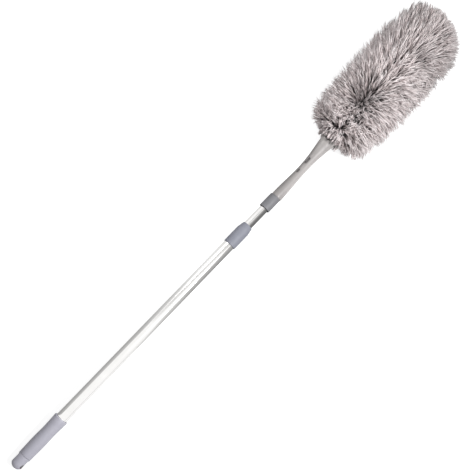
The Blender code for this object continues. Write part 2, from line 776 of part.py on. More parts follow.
def build_sleeve_hem(cloth):
    """Gathered hem round the pocket's open end."""
    middle = SLEEVE_LOW + HEM_HEIGHT / 2
    outer = [
        (TAPE_BORE + HEM_R * math.cos(a), middle + HEM_HEIGHT / 2 * math.sin(a))
        for a in [math.radians(90 - 36 * step) for step in range(6)]
    ]
    outer[0] = (TAPE_BORE, SLEEVE_LOW + HEM_HEIGHT)
    outer[-1] = (TAPE_BORE, SLEEVE_LOW)
    return turned("sleeve_hem", outer, cloth, PILE_COLUMNS)


def tuft_reach(foot, direction):
    """How far a tuft runs from its foot to the pile's outline, or to the table where
    the pile rests on it."""
    low, high = 0.0, 2 * PILE_R
    for _ in range(30):
        middle = (low + high) / 2
        point = foot + middle * direction
        inside = point.xy.length < pile_radius(point.z)
        low, high = (middle, high) if inside else (low, middle)
    fall = -UP.dot(direction)
    if fall > 0:
        to_table = (height_over_table(foot) + FLOOR_CUT) / fall
        if to_table < low * SETTLED_REACH:
            return to_table, True
    return low, False


def grow_tufts(form, faces, lean_of, chance):
    """Turns each of these faces into a tuft of three or four sides that widens to a
    belly and ends in a point. A tuft keeps to the sector of its own column, and leans
    change little from row to row, so no two cross."""
    grown = bmesh.ops.extrude_discrete_faces(form, faces=faces)["faces"]
    for face in grown:
        foot = face.calc_center_median()
        angle = math.atan2(foot.y, foot.x) + chance.uniform(-TUFT_SCATTER, TUFT_SCATTER)
        lean = lean_of(foot) + chance.uniform(-TUFT_SCATTER, TUFT_SCATTER)
        out = Vector((math.cos(angle), math.sin(angle), 0))
        direction = math.sin(lean) * out + math.cos(lean) * Vector((0, 0, 1))
        across = Vector((-math.sin(angle), math.cos(angle), 0))
        along_pole = across.cross(direction)
        reach, settled = tuft_reach(foot, direction)
        if not settled:
            reach *= 1 - chance.uniform(0, TUFT_UNEVEN)
        belly = foot + TUFT_BELLY_AT * reach * direction
        sector = belly.xy.length * math.tan(math.pi / PILE_COLUMNS)
        half_width = min(TUFT_HALF_WIDTH, TUFT_ROOM * sector)
        sides = [(corner.co - foot).dot(across) for corner in face.verts]
        ends = [(corner.co - foot).dot(along_pole) for corner in face.verts]
        widen = half_width / max(map(abs, sides))
        deepen = TUFT_HALF_DEPTH / max(map(abs, ends))
        for corner, side, end in zip(face.verts, sides, ends):
            corner.co = belly + side * widen * across + end * deepen * along_pole
        point = bmesh.ops.poke(form, faces=[face])["verts"][0]
        point.co = foot + reach * direction


def cut_at_table(form):
    """Takes off what would reach below the table's surface."""
    bmesh.ops.bisect_plane(
        form,
        geom=[*form.verts, *form.edges, *form.faces],
        plane_co=-AXIS_HEIGHT * UP,
        plane_no=-UP,
        clear_outer=True,
    )
    bmesh.ops.holes_fill(form, edges=[edge for edge in form.edges if edge.is_boundary])


def pile_piece(name, profile, cloth, is_pile_side, spacings, lean_of, chance):
    """A turned backing with tufts on the faces of its outer side: in each row, one in
    every so many columns, and the next row starts a column later."""
    form = bmesh.new()
    form.from_mesh(mesh_of(turned(name, profile, None, PILE_COLUMNS)))
    outside = [face for face in form.faces if is_pile_side(face)]
    centers = [face.calc_center_median() for face in outside]
    heights = sorted({round(center.z, 6) for center in centers})
    faces = []
    for face, center in zip(outside, centers):
        row = heights.index(round(center.z, 6))
        turn = math.atan2(center.y, center.x) % (2 * math.pi)
        column = int(turn / (2 * math.pi) * PILE_COLUMNS)
        if (column + row) % spacings[row] == 0:
            faces.append(face)
    grow_tufts(form, faces, lean_of, chance)
    cut_at_table(form)
    return mesh_object(name, form, cloth)


def lean_along_sleeve(foot):
    """Tufts near the hem lean back to the handle, and those near the tip forward."""
    share = (foot.z - TAPES_LOW) / (TAPES_TOP - TAPES_LOW)
    return LEAN_AT_HEM + (LEAN_AT_TIP - LEAN_AT_HEM) * share


def lean_over_dome(foot):
    rise = math.atan2(foot.z - TAPES_TOP, foot.xy.length) / (math.pi / 2)
    return LEAN_AT_TIP + (LEAN_APEX - LEAN_AT_TIP) * rise


def on_tape_side(face):
    return face.normal.xy.length > 0.5 and face.calc_center_median().xy.length > TAPE_BORE + GAP


def on_dome_outside(face):
    center = face.calc_center_median() - Vector((0, 0, TAPES_TOP))
    return face.normal.dot(center) > 0 and center.length > (TAPE_R + TAPE_BORE) / 2


def build_fringe_strips(cloth, chance):
    """Tapes of fringe, one above the other round the pocket."""
    made = []
    for index in range(TAPE_COUNT):
        low = TAPES_LOW + index * (TAPE_HEIGHT + GAP)
        rows = [low + TAPE_HEIGHT * step / TAPE_ROWS for step in range(TAPE_ROWS, -1, -1)]
        profile = [(TAPE_BORE, rows[0]), *[(TAPE_R, z) for z in rows], (TAPE_BORE, low)]
        made.append(
            pile_piece(
                f"fringe_strip_{index + 1}",
                profile,
                cloth,
                on_tape_side,
                [2] * TAPE_ROWS,
                lean_along_sleeve,
                chance,
            )
        )
    return made


def build_tip_tuft(cloth, chance):
    """Dome of fringe that closes the sleeve's tip."""
    outer = list(reversed(arc(0, TAPES_TOP, TAPE_R, 0, 90, 4)))
    inner = arc(0, TAPES_TOP, TAPE_BORE, 0, 90, 4)
    outer[0] = (0, TAPES_TOP + TAPE_R)
    inner[-1] = (0, TAPES_TOP + TAPE_BORE)
    profile = [*outer, *inner]
    return pile_piece(
        "tip_tuft", profile, cloth, on_dome_outside, DOME_SPACING, lean_over_dome, chance
    )


def joint_empty(name, z, parent, parent_z):
    """An empty on the pole's axis that carries one moving body."""
    made = add_object(name, None)
    made.empty_display_size = 0.02
    made.parent = parent
    made.location = (0, 0, z - parent_z)
    return made


def carry(empty, z, pieces):
    for piece in pieces:
        piece.parent = empty
        piece.matrix_parent_inverse = Matrix.Translation((0, 0, -z))


def corners(pieces):
    """Lowest and highest corner of the pieces in world space."""
    graph = bpy.context.evaluated_depsgraph_get()
    low = Vector((math.inf,) * 3)
    high = Vector((-math.inf,) * 3)
    for piece in pieces:
        evaluated = piece.evaluated_get(graph)
        mesh = evaluated.to_mesh()
        for vertex in mesh.vertices:
            point = evaluated.matrix_world @ vertex.co
            low = Vector(map(min, low, point))
            high = Vector(map(max, high, point))
        evaluated.to_mesh_clear()
    return low, high


def lay_down(root, pieces):
    """Lays the pole along X on the table, and centres the duster over the origin."""
    cos, sin = math.cos(PITCH), math.sin(PITCH)
    turn = Matrix(((0, -sin, cos), (1, 0, 0), (0, cos, sin))).to_4x4()
    root.matrix_world = Matrix.Translation((0, 0, AXIS_HEIGHT)) @ turn
    bpy.context.view_layer.update()
    low, high = corners(pieces)
    middle = (low + high) / 2
    root.matrix_world = Matrix.Translation((-middle.x, -middle.y, AXIS_HEIGHT)) @ turn
    bpy.context.view_layer.update()


def build_duster():
    """Builds every piece, parents it to its joint and lays the duster down."""
    grey = finish("grey_plastic", (0.30, 0.30, 0.36), 0.45)
    warm = finish("warm_grey_plastic", (0.45, 0.43, 0.42), 0.30)
    pale = finish("natural_nylon", (0.75, 0.74, 0.70), 0.50)
    steel = finish("polished_steel", (0.72, 0.71, 0.70), 0.15, metallic=1.0)
    zinc = finish("zinc_steel", (0.50, 0.50, 0.52), 0.35, metallic=1.0)
    coat = finish("coated_wire", (0.20, 0.19, 0.20), 0.50)
    cloth = finish("microfibre", (0.46, 0.42, 0.43), 0.90)
    lining = finish("sleeve_cloth", (0.38, 0.37, 0.38), 0.90)
    chance = random.Random(SEED)

    handle = [
        build_end_cap(grey),
        build_hand_grip(grey),
        tube("outer_tube", OUTER_TUBE_R, OUTER_TUBE_WALL, TUBE_LOW, TUBE_TOP, steel),
        build_collar(grey),
        build_guide_bush(pale),
    ]
    expander = [build_expander_sleeve(pale)]
    cone = [build_lock_cone(pale)]
    inner_pole = [
        tube("inner_tube", INNER_TUBE_R, INNER_TUBE_WALL, INNER_LOW, INNER_TOP, steel),
        build_lock_plug(pale),
        build_lock_spindle(zinc),
        build_spindle_stop(zinc),
        build_ferrule(grey),
        build_socket_insert(pale),
    ]
    wire = build_core_wire(coat)
    head = [build_neck(warm), build_core_root(coat), wire, *build_core_bridges(pale)]
    head.append(build_tip_cap(pale))
    sleeve = [
        build_sleeve_pocket(lining),
        build_sleeve_hem(lining),
        *build_fringe_strips(cloth, chance),
        build_tip_tuft(cloth, chance),
    ]

    root = add_object("duster_on_table", None)
    carry(root, 0, handle)
    extension = joint_empty("pole_extension", EXPANDER_TOP, root, 0)
    carry(extension, EXPANDER_TOP, expander)
    travel = joint_empty("cone_travel", CONE_TOP, extension, EXPANDER_TOP)
    carry(travel, CONE_TOP, cone)
    twist = joint_empty("pole_twist", INNER_LOW, extension, EXPANDER_TOP)
    carry(twist, INNER_LOW, inner_pole)
    release = joint_empty("head_release", NECK_LOW, twist, INNER_LOW)
    carry(release, NECK_LOW, head)
    removal = joint_empty("sleeve_removal", SLEEVE_LOW, release, NECK_LOW)
    carry(removal, SLEEVE_LOW, sleeve)
    lay_down(root, [*handle, *expander, *cone, *inner_pole, *head, *sleeve])


for leftover in list(bpy.data.objects):
    bpy.data.objects.remove(leftover, do_unlink=True)
PIECES = new_collection("extendable_duster")
CUTTERS = new_collection("cutters", hidden=True)
build_duster()
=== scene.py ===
"""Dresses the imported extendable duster: moulded grip, steel pole, neck and fluffy head."""

import json
from math import atan2, cos, pi, radians, sin

import bpy
import numpy as np
from mathutils import Matrix, Vector


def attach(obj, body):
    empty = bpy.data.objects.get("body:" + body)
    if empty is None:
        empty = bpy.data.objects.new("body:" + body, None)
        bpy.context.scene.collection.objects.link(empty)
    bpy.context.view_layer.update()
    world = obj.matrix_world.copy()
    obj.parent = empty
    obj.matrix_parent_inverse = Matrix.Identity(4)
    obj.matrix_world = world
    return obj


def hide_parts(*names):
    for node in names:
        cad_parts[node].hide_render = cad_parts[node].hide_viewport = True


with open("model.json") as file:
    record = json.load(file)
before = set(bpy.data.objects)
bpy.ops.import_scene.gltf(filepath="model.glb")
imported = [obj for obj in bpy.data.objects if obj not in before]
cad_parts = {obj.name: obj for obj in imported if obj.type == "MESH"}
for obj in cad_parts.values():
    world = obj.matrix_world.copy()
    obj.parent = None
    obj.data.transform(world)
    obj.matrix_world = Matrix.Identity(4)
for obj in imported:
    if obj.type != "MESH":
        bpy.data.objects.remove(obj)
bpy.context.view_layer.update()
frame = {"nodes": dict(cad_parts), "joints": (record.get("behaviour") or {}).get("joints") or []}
NODES = frame["nodes"]

bl_info = {
    "name": "Extendable duster",
    "version": (1, 0, 0),
    "blender": (4, 5, 0),
    "location": "3D View > Sidebar > Duster",
    "description": "Builds the visible pieces of an extendable duster round its CAD frame",
    "category": "Object",
}

MM = 0.001

# The pole's own frame: X across it, Y out of its upper side, Z from the grip to the tip
TWIST = next(joint for joint in frame["joints"] if joint["name"] == "pole_twist")
ALONG = Vector(TWIST["axis"]).normalized()
ACROSS = Vector((0, 1, 0))
OUT = ALONG.cross(ACROSS)


def pole_matrix():
    """Where the upright pole, its foot at the origin, lies on the floor."""
    pivot = Vector(TWIST["pos_m"])
    foot = min((v.co - pivot).dot(ALONG) for v in NODES["grip_end_cap"].data.vertices)
    turn = Matrix((ACROSS, OUT, ALONG)).transposed().to_4x4()
    return Matrix.Translation(pivot + foot * ALONG) @ turn


POLE = pole_matrix()
UPRIGHT = POLE.inverted()


def reach(node):
    """Lowest and highest place of a node along the pole, and its largest radius."""
    points = [UPRIGHT @ vertex.co for vertex in NODES[node].data.vertices]
    heights = [point.z for point in points]
    return min(heights), max(heights), max(point.xy.length for point in points)


def outer_rings(node):
    """(radius, height) of each ring of a node's outer side, from low to high."""
    rings = {}
    for vertex in NODES[node].data.vertices:
        point = UPRIGHT @ vertex.co
        height = round(point.z, 5)
        rings[height] = max(rings.get(height, 0), point.xy.length)
    return [(radius, height) for height, radius in sorted(rings.items())]


STRIPS = tuple(sorted(name for name in NODES if name.startswith("fringe_strip")))
_, CAP_SPIGOT_TOP, CAP_R = reach("grip_end_cap")
COLLAR_LOW, COLLAR_TOP, COLLAR_R = reach("collar")
FERRULE_LOW, FERRULE_TOP, FERRULE_R = reach("ferrule")
NECK_SPIGOT_LOW, NECK_TOP, _ = reach("neck")
HEM_LOW, HEM_TOP, HEM_R = reach("sleeve_hem")
POCKET_LOW, POCKET_TOP, POCKET_R = reach("sleeve_pocket")
OUTER_TUBE_R = reach("outer_tube")[2]
INNER_TUBE_R = reach("inner_tube")[2]
TUBE_WALL = 0.6 * MM
GAP = 0.3 * MM


# Settings
class DusterSizes(bpy.types.PropertyGroup):
    """Sizes of the moulded and metal pieces that the frame leaves open."""

    edge: bpy.props.FloatProperty(
        name="Moulded edge", description="Rounding of moulded edges", default=0.45 * MM, unit="LENGTH"
    )
    sides: bpy.props.IntProperty(
        name="Sides", description="Sides of each round piece", default=96, min=24, max=160
    )
    slot_width: bpy.props.FloatProperty(
        name="Hang slot", description="Width of the hang slot", default=6.4 * MM, unit="LENGTH"
    )


class DusterPile(bpy.types.PropertyGroup):
    """The fluffy pile of the head."""

    rows: bpy.props.IntProperty(name="Rows", description="Rows of tufts on a strip", default=10)
    columns: bpy.props.IntProperty(name="Columns", description="Tufts round a row", default=30)
    strands: bpy.props.IntProperty(name="Strands", description="Strands in a tuft", default=6)
    strand_radius: bpy.props.FloatProperty(
        name="Strand radius", description="Radius at its middle", default=0.92 * MM, unit="LENGTH"
    )
    longest: bpy.props.FloatProperty(
        name="Longest", description="Length of the longest strands", default=72 * MM, unit="LENGTH"
    )
    seed: bpy.props.IntProperty(name="Seed", description="Seed of the random spread", default=7)


class DusterStage(bpy.types.PropertyGroup):
    """Lamps and sky."""

    key_watts: bpy.props.FloatProperty(name="Key", description="Key lamp", default=26.0, unit="POWER")
    fill_watts: bpy.props.FloatProperty(name="Fill", description="Fill lamp", default=6.0, unit="POWER")
    sky: bpy.props.FloatProperty(name="Sky", description="Strength of the sky light", default=0.35)


# Modelling by hand
def set_mode(name):
    bpy.ops.object.mode_set(mode=name)


def start():
    """Leaves edit mode and deselects everything."""
    if bpy.context.object and bpy.context.object.mode != "OBJECT":
        set_mode("OBJECT")
    bpy.ops.object.select_all(action="DESELECT")


def choose(piece):
    """Selects this piece alone."""
    start()
    piece.hide_set(False)
    piece.select_set(True)
    bpy.context.view_layer.objects.active = piece


def ring_stack(name, rings, sides):
    """Pulls a skin up from a circle, ring by ring, and closes its ends. A ring is its
    height, half width, half depth and shift across."""
    start()
    height, width, depth, shift = rings[0]
    bpy.ops.mesh.primitive_circle_add(vertices=sides, radius=1, location=(0, 0, 0))
    made = bpy.context.object
    made.name = made.data.name = name
    set_mode("EDIT")
    bpy.ops.mesh.select_all(action="SELECT")
    bpy.ops.transform.resize(value=(width, depth, 1), center_override=(0, 0, 0))
    bpy.ops.transform.translate(value=(shift, 0, height))
    for new_height, new_width, new_depth, new_shift in rings[1:]:
        step = (new_shift - shift, 0, new_height - height)
        bpy.ops.mesh.extrude_region_move(TRANSFORM_OT_translate={"value": step})
        bpy.ops.transform.resize(
            value=(new_width / width, new_depth / depth, 1),
            center_override=(new_shift, 0, new_height),
        )
        height, width, depth, shift = new_height, new_width, new_depth, new_shift
    bpy.ops.mesh.select_all(action="SELECT")
    bpy.ops.mesh.remove_doubles(threshold=0.00001)
    bpy.ops.mesh.fill_holes(sides=0)
    bpy.ops.mesh.select_all(action="SELECT")
    bpy.ops.mesh.normals_make_consistent(inside=False)
    set_mode("OBJECT")
    return made


def turned(name, profile, sides):
    """A solid round piece from its (radius, height) profile."""
    return ring_stack(name, [(height, radius, radius, 0) for radius, height in profile], sides)


def turned_wall(name, profile, sides):
    """A round piece with a bore, whose profile runs once round its wall."""
    return turned(name, [*profile, profile[0]], sides)


def straight_wall(radius, bore, low, high):
    """Profile of a tube's wall."""
    return [(bore, low), (radius, low), (radius, high), (bore, high)]


def dome_wall(foot, radius, bore):
    """Profile of a domed wall, from its outer foot over the crown to its inner foot."""
    bow = [radians(angle) for angle in range(0, 81, 10)]
    outer = [(radius * cos(a), foot + radius * sin(a)) for a in bow]
    inner = [(bore * cos(a), foot + bore * sin(a)) for a in bow[::-1]]
    return [*outer, (0.5 * MM, foot + radius), (0.5 * MM, foot + bore), *inner]


def apply_modifier(piece, kind, **settings):
    choose(piece)
    step = piece.modifiers.new(kind.lower(), kind)
    for name, value in settings.items():
        setattr(step, name, value)
    bpy.ops.object.modifier_apply(modifier=step.name)


def soften(piece, width, segments=3, limit=30):
    """Rounds the edges that are sharper than the limit, in degrees, and shades it smooth."""
    apply_modifier(
        piece, "BEVEL", width=width, segments=segments, limit_method="ANGLE",
        angle_limit=radians(limit), harden_normals=False, use_clamp_overlap=True,
    )
    choose(piece)
    bpy.ops.object.shade_smooth_by_angle(angle=radians(limit))


def carve(piece, cutter):
    apply_modifier(piece, "BOOLEAN", operation="DIFFERENCE", solver="EXACT", object=cutter)
    bpy.data.objects.remove(cutter)


def rounded_bar(name, size, place, rounding, turn=0.0):
    """A bar along its own X with rounded long edges, turned about the pole."""
    start()
    bpy.ops.mesh.primitive_cube_add(size=1, location=(0, 0, 0))
    made = bpy.context.object
    made.name = name
    set_mode("EDIT")
    bpy.ops.transform.resize(value=size, center_override=(0, 0, 0))
    set_mode("OBJECT")
    for edge in made.data.edges:
        ends = [made.data.vertices[index].co.x for index in edge.vertices]
        edge.select = abs(ends[0] - ends[1]) > size[0] / 2
    for face in made.data.polygons:
        face.select = False
    if rounding:
        set_mode("EDIT")
        bpy.ops.mesh.select_mode(type="EDGE")
        bpy.ops.mesh.bevel(offset=rounding, segments=8, affect="EDGES")
        set_mode("OBJECT")
    made.data.transform(Matrix.Rotation(turn, 4, "Z") @ Matrix.Translation(place))
    return made


def wrap_uv(piece):
    """Own UV map round the upright piece: its turn and its height, both in metres."""
    mesh = piece.data
    layer = mesh.uv_layers.new(name="wrap")
    radius = max(vertex.co.xy.length for vertex in mesh.vertices)
    for face in mesh.polygons:
        middle = atan2(face.center.y, face.center.x)
        for loop in face.loop_indices:
            point = mesh.vertices[mesh.loops[loop].vertex_index].co
            turn = atan2(point.y, point.x)
            turn += 2 * pi * round((middle - turn) / (2 * pi))
            layer.data[loop].uv = (turn * radius, point.z)


def dress(piece, node, body, material):
    """Gives a piece in its place its material, its body and the node it stands for."""
    piece.data.materials.clear()
    piece.data.materials.append(material)
    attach(piece, body)
    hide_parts(node)


def lay_down(piece, node, body, material):
    """Lays the upright piece on the floor and dresses it."""
    piece.data.transform(POLE)
    piece.data.update()
    dress(piece, node, body, material)


def refine(node, name, edge, body, slot, material):
    """Dresses a copy of the node, its loose triangles merged and its edges rounded."""
    copy = NODES[node].copy()
    copy.data = NODES[node].data.copy()
    copy.name = copy.data.name = name
    for key in list(copy.keys()):
        del copy[key]
    copy.parent = None
    bpy.context.scene.collection.objects.link(copy)
    choose(copy)
    set_mode("EDIT")
    bpy.ops.mesh.select_all(action="SELECT")
    bpy.ops.mesh.remove_doubles(threshold=0.00001)
    bpy.ops.mesh.dissolve_limited(angle_limit=radians(1))
    set_mode("OBJECT")
    copy.data.transform(UPRIGHT)
    soften(copy, edge, segments=2)
    lay_down(copy, node, body, material)


# Materials
def linear(code):
    """Linear colour of an sRGB hex value."""
    parts = [int(code[place : place + 2], 16) / 255 for place in (1, 3, 5)]
    parts = [c / 12.92 if c <= 0.04045 else ((c + 0.055) / 1.055) ** 2.4 for c in parts]
    return (*parts, 1.0)


def fill(owner, node, inputs):
    """Gives inputs a value, or links them to a socket or to a node's first output."""
    for name, value in inputs.items():
        if isinstance(value, bpy.types.Node):
            value = value.outputs[0]
        if isinstance(value, bpy.types.NodeSocket):
            owner.node_tree.links.new(value, node.inputs[name])
        else:
            node.inputs[name].default_value = value


def add_node(owner, kind, inputs=None, stops=(), **settings):
    """Adds a node with its settings and links; a ramp has (place, hex colour) stops."""
    node = owner.node_tree.nodes.new("ShaderNode" + kind)
    for name, value in settings.items():
        setattr(node, name, value)
    fill(owner, node, inputs or {})
    for _ in stops[2:]:
        node.color_ramp.elements.new(0.5)
    for index, (place, code) in enumerate(stops):
        node.color_ramp.elements[index].position = place
        node.color_ramp.elements[index].color = linear(code)
    return node


def new_material(name):
    """A material with one Principled shader, and the shader."""
    material = bpy.data.materials.new(name)
    material.use_nodes = True
    return material, material.node_tree.nodes["Principled BSDF"]


EVEN = (1, 1, 1)


def pole_place(material, squeeze):
    """Object coordinates turned into the pole's frame, in metres, times these factors."""
    where = add_node(material, "TexCoord").outputs["Object"]
    straight = add_node(material, "Mapping", {"Vector": where, "Rotation": UPRIGHT.to_euler()})
    return add_node(material, "Mapping", {"Vector": straight, "Scale": squeeze})


def patterned(name, tone, wear, relief, stops, gloss, depth, strength, **constants):
    """A material whose colour, roughness and relief each follow a noise: how large and how
    detailed its lumps are, how rough, and how far they are squeezed along X, Y and Z."""
    material, shader = new_material(name)
    tone, wear, relief = (
        add_node(material, "TexNoise", {
            "Vector": pole_place(material, squeeze), "Scale": 1 / size, "Detail": detail,
            "Roughness": rough,
        })
        for size, detail, rough, squeeze in (tone, wear, relief)
    )
    low, high = gloss
    fill(material, shader, {
        "Base Color": add_node(material, "ValToRGB", {"Fac": tone}, stops),
        "Roughness": add_node(material, "MapRange", {"Value": wear, "To Min": low, "To Max": high}),
        "Normal": add_node(
            material, "Bump", {"Height": relief, "Distance": depth, "Strength": strength}
        ),
        **constants,
    })
    return material


def moulded_plastic(name, dark, light, roughness):
    """Injection moulded plastic with a fine eroded grain: satin, with soft highlights.
    The grain is drawn coarser than the real 0.1 mm so that it shows from near."""
    return patterned(
        name, tone=(22 * MM, 3, 0.5, EVEN), wear=(6 * MM, 2, 0.5, EVEN),
        relief=(0.7 * MM, 4, 0.5, EVEN), stops=[(0.3, dark), (0.7, light)],
        gloss=(roughness - 0.06, roughness + 0.08), depth=0.03 * MM, strength=0.5, IOR=1.49,
    )


def drawn_steel(name, colour, roughness):
    """Polished drawn steel tube: mirror-like, with faint lines along it and smudges."""
    smudges = (30 * MM, 4, 0.6, EVEN)
    return patterned(
        name, tone=smudges, wear=smudges, relief=(0.8 * MM, 3, 0.5, (1, 1, 0.01)),
        stops=[(0.3, colour), (0.75, "#f7f6f5")], gloss=(roughness * 0.7, roughness * 1.5),
        depth=0.01 * MM, strength=0.35, Metallic=1.0,
    )


def plated_steel(name, colour):
    """Zinc-plated turned steel: bright, with fine turning rings."""
    mottle = (3 * MM, 3, 0.5, EVEN)
    return patterned(
        name, tone=mottle, wear=mottle, relief=(0.5 * MM, 2, 0.5, (0.02, 0.02, 1)),
        stops=[(0.3, colour), (0.7, "#c9cbcf")], gloss=(0.25, 0.42), depth=0.01 * MM,
        strength=0.5, Metallic=1.0,
    )


def woven_cloth(name, dark, light):
    """Plain woven polyester: matt, with crossing threads drawn at twice their real size."""
    material, shader = new_material(name)
    wrap = add_node(material, "UVMap", uv_map="wrap")
    # A wave of scale 1 repeats every 0.314 m, and each thread is 0.9 mm wide
    threads = {"Vector": wrap, "Scale": 0.314 / (0.9 * MM), "Distortion": 0.4}
    warp, weft = (
        add_node(material, "TexWave", threads, bands_direction=way).outputs["Fac"] for way in "XY"
    )
    weave = add_node(material, "Math", {0: warp, 1: weft}, operation="MULTIPLY")
    fill(material, shader, {
        "Roughness": 0.9,
        "Sheen Weight": 0.25,
        "Sheen Roughness": 0.5,
        "Base Color": add_node(material, "ValToRGB", {"Fac": weave}, [(0.0, dark), (0.8, light)]),
        "Normal": add_node(material, "Bump", {"Height": weave, "Distance": 0.25 * MM, "Strength": 0.6}),
    })
    return material


def microfibre(name):
    """Fluffy polyester microfibre: matt and soft, with painted shade from its dark roots, deep in the
    pile, to pale tips. Attribute tint holds how far along the strand it is, lowered by painted shade
    where the pile is dark and raised by a painted highlight on two ridges, and two random shades, one a
    strand and one a tuft."""
    material, shader = new_material(name)
    tint = add_node(material, "Attribute", attribute_name="tint").outputs["Color"]
    along, strand, tuft = add_node(material, "SeparateColor", {"Color": tint}).outputs
    # Painted shade: dark at the roots, deep in the pile, to pale at the tips
    shade = add_node(material, "ValToRGB", {"Fac": along}, [
        (0.0, "#473f3f"), (0.35, "#827979"), (0.65, "#e1d9d9"), (1.0, "#fcf5f5"),
    ]).outputs["Color"]
    ends = (
        (strand, [(0.0, "#b0a9a9"), (0.55, "#ffffff")]),
        (tuft, [(0.0, "#efeae9"), (1.0, "#ffffff")]),
    )
    for factor, stops in ends:
        tone = add_node(material, "ValToRGB", {"Fac": factor}, stops)
        shade = add_node(
            material, "Mix", {0: 1.0, 6: shade, 7: tone}, data_type="RGBA", blend_type="MULTIPLY"
        ).outputs[2]
    place = pole_place(material, EVEN)
    fuzz = add_node(material, "TexNoise", {"Vector": place, "Scale": 1 / (0.7 * MM)})
    fill(material, shader, {
        "IOR": 1.4,
        "Roughness": 0.85,
        "Sheen Weight": 0.35,
        "Sheen Roughness": 0.45,
        "Base Color": shade,
        "Normal": add_node(material, "Bump", {"Height": fuzz, "Distance": 0.2 * MM, "Strength": 0.5}),
    })
    return material


GRIP_PLASTIC = moulded_plastic("satin_polypropylene_grey", "#a2a1ac", "#abaab4", 0.45)
COLLAR_PLASTIC = moulded_plastic("satin_polypropylene_blue_grey", "#7b7d88", "#848690", 0.6)
FERRULE_PLASTIC = moulded_plastic("satin_polypropylene_neutral_grey", "#727276", "#7b7b7f", 0.55)
NECK_PLASTIC = moulded_plastic("moulded_polypropylene_warm_grey", "#959190", "#9f9b99", 0.4)
# Dark grey nylon of the core's root block, also used as painted shade inside the end cap's slot
ROOT_PLASTIC_AND_SLOT_SHADE = moulded_plastic("moulded_nylon_dark_grey", "#5b5858", "#6a6666", 0.5)
PALE_NYLON = moulded_plastic("moulded_natural_nylon", "#d9d6cd", "#e6e3da", 0.4)
WIRE_COAT = moulded_plastic("plastic_coated_wire", "#575354", "#676263", 0.4)
OUTER_STEEL = drawn_steel("polished_drawn_steel", "#f0efed", 0.14)
INNER_STEEL = drawn_steel("polished_drawn_steel_inner", "#eceae8", 0.12)
ZINC_STEEL = plated_steel("zinc_plated_steel", "#a9acb2")
POCKET_CLOTH = woven_cloth("woven_polyester_grey", "#5c5958", "#8d8987")
PILE_FIBRE = microfibre("microfibre_fringe")


# Moulded and metal pieces
class DUSTER_OT_end_cap(bpy.types.Operator):
    """Rounded end cap with its hang slot"""

    bl_idname = "duster.end_cap"
    bl_label = "End cap"

    def execute(self, context):
        sizes = context.scene.duster_sizes
        seam = outer_rings("hand_grip")[0][1] - GAP
        spigot = OUTER_TUBE_R - TUBE_WALL - GAP
        fillet = 9.5 * MM
        nose = [
            (CAP_R - 0.15 * MM - fillet + fillet * sin(a), fillet - fillet * cos(a))
            for a in [radians(angle) for angle in range(0, 91, 10)]
        ]
        profile = [(0.6 * MM, 0), (2.6 * MM, 0), *nose, (CAP_R, seam - 0.35 * MM)]
        profile += [(CAP_R - 0.35 * MM, seam), (spigot, seam), (spigot, CAP_SPIGOT_TOP)]
        cap = turned("end_cap", profile, sizes.sides)

        # The slot goes right through, and its right mouth is flared out of the upper side
        width, length, middle = sizes.slot_width, 10 * MM, 10.8 * MM
        rounding = 0.49 * width
        carve(cap, rounded_bar("slot", (4 * CAP_R, width, length), (0, 0, middle), rounding))
        place = (-3 * CAP_R, 0, middle - 1.5 * MM)
        size = (5 * CAP_R, width, 7.5 * MM)
        carve(cap, rounded_bar("flare", size, place, rounding, radians(-33)))
        flat = CAP_R - 1.25 * MM
        for side in (-1, 1):
            place = (side * (flat + CAP_R / 2), 0, middle)
            carve(cap, rounded_bar("flat", (CAP_R, 2 * CAP_R, 2 * length), place, 0))
        soften(cap, sizes.edge)

        # The slot's own faces don't look outwards; they get the dark grey plastic as painted shade, so
        # the slot looks deep and dark
        inside = [
            face.index
            for face in cap.data.polygons
            if abs(face.center.z - middle) < length / 2 + GAP
            and face.normal.xy.dot(face.center.xy.normalized()) < 0.3
        ]
        lay_down(cap, "grip_end_cap", "handle", GRIP_PLASTIC)
        # Painted shade: the slot's inner faces take the dark grey plastic
        cap.data.materials.append(ROOT_PLASTIC_AND_SLOT_SHADE)
        for index in inside:
            cap.data.polygons[index].material_index = 1
        return {"FINISHED"}


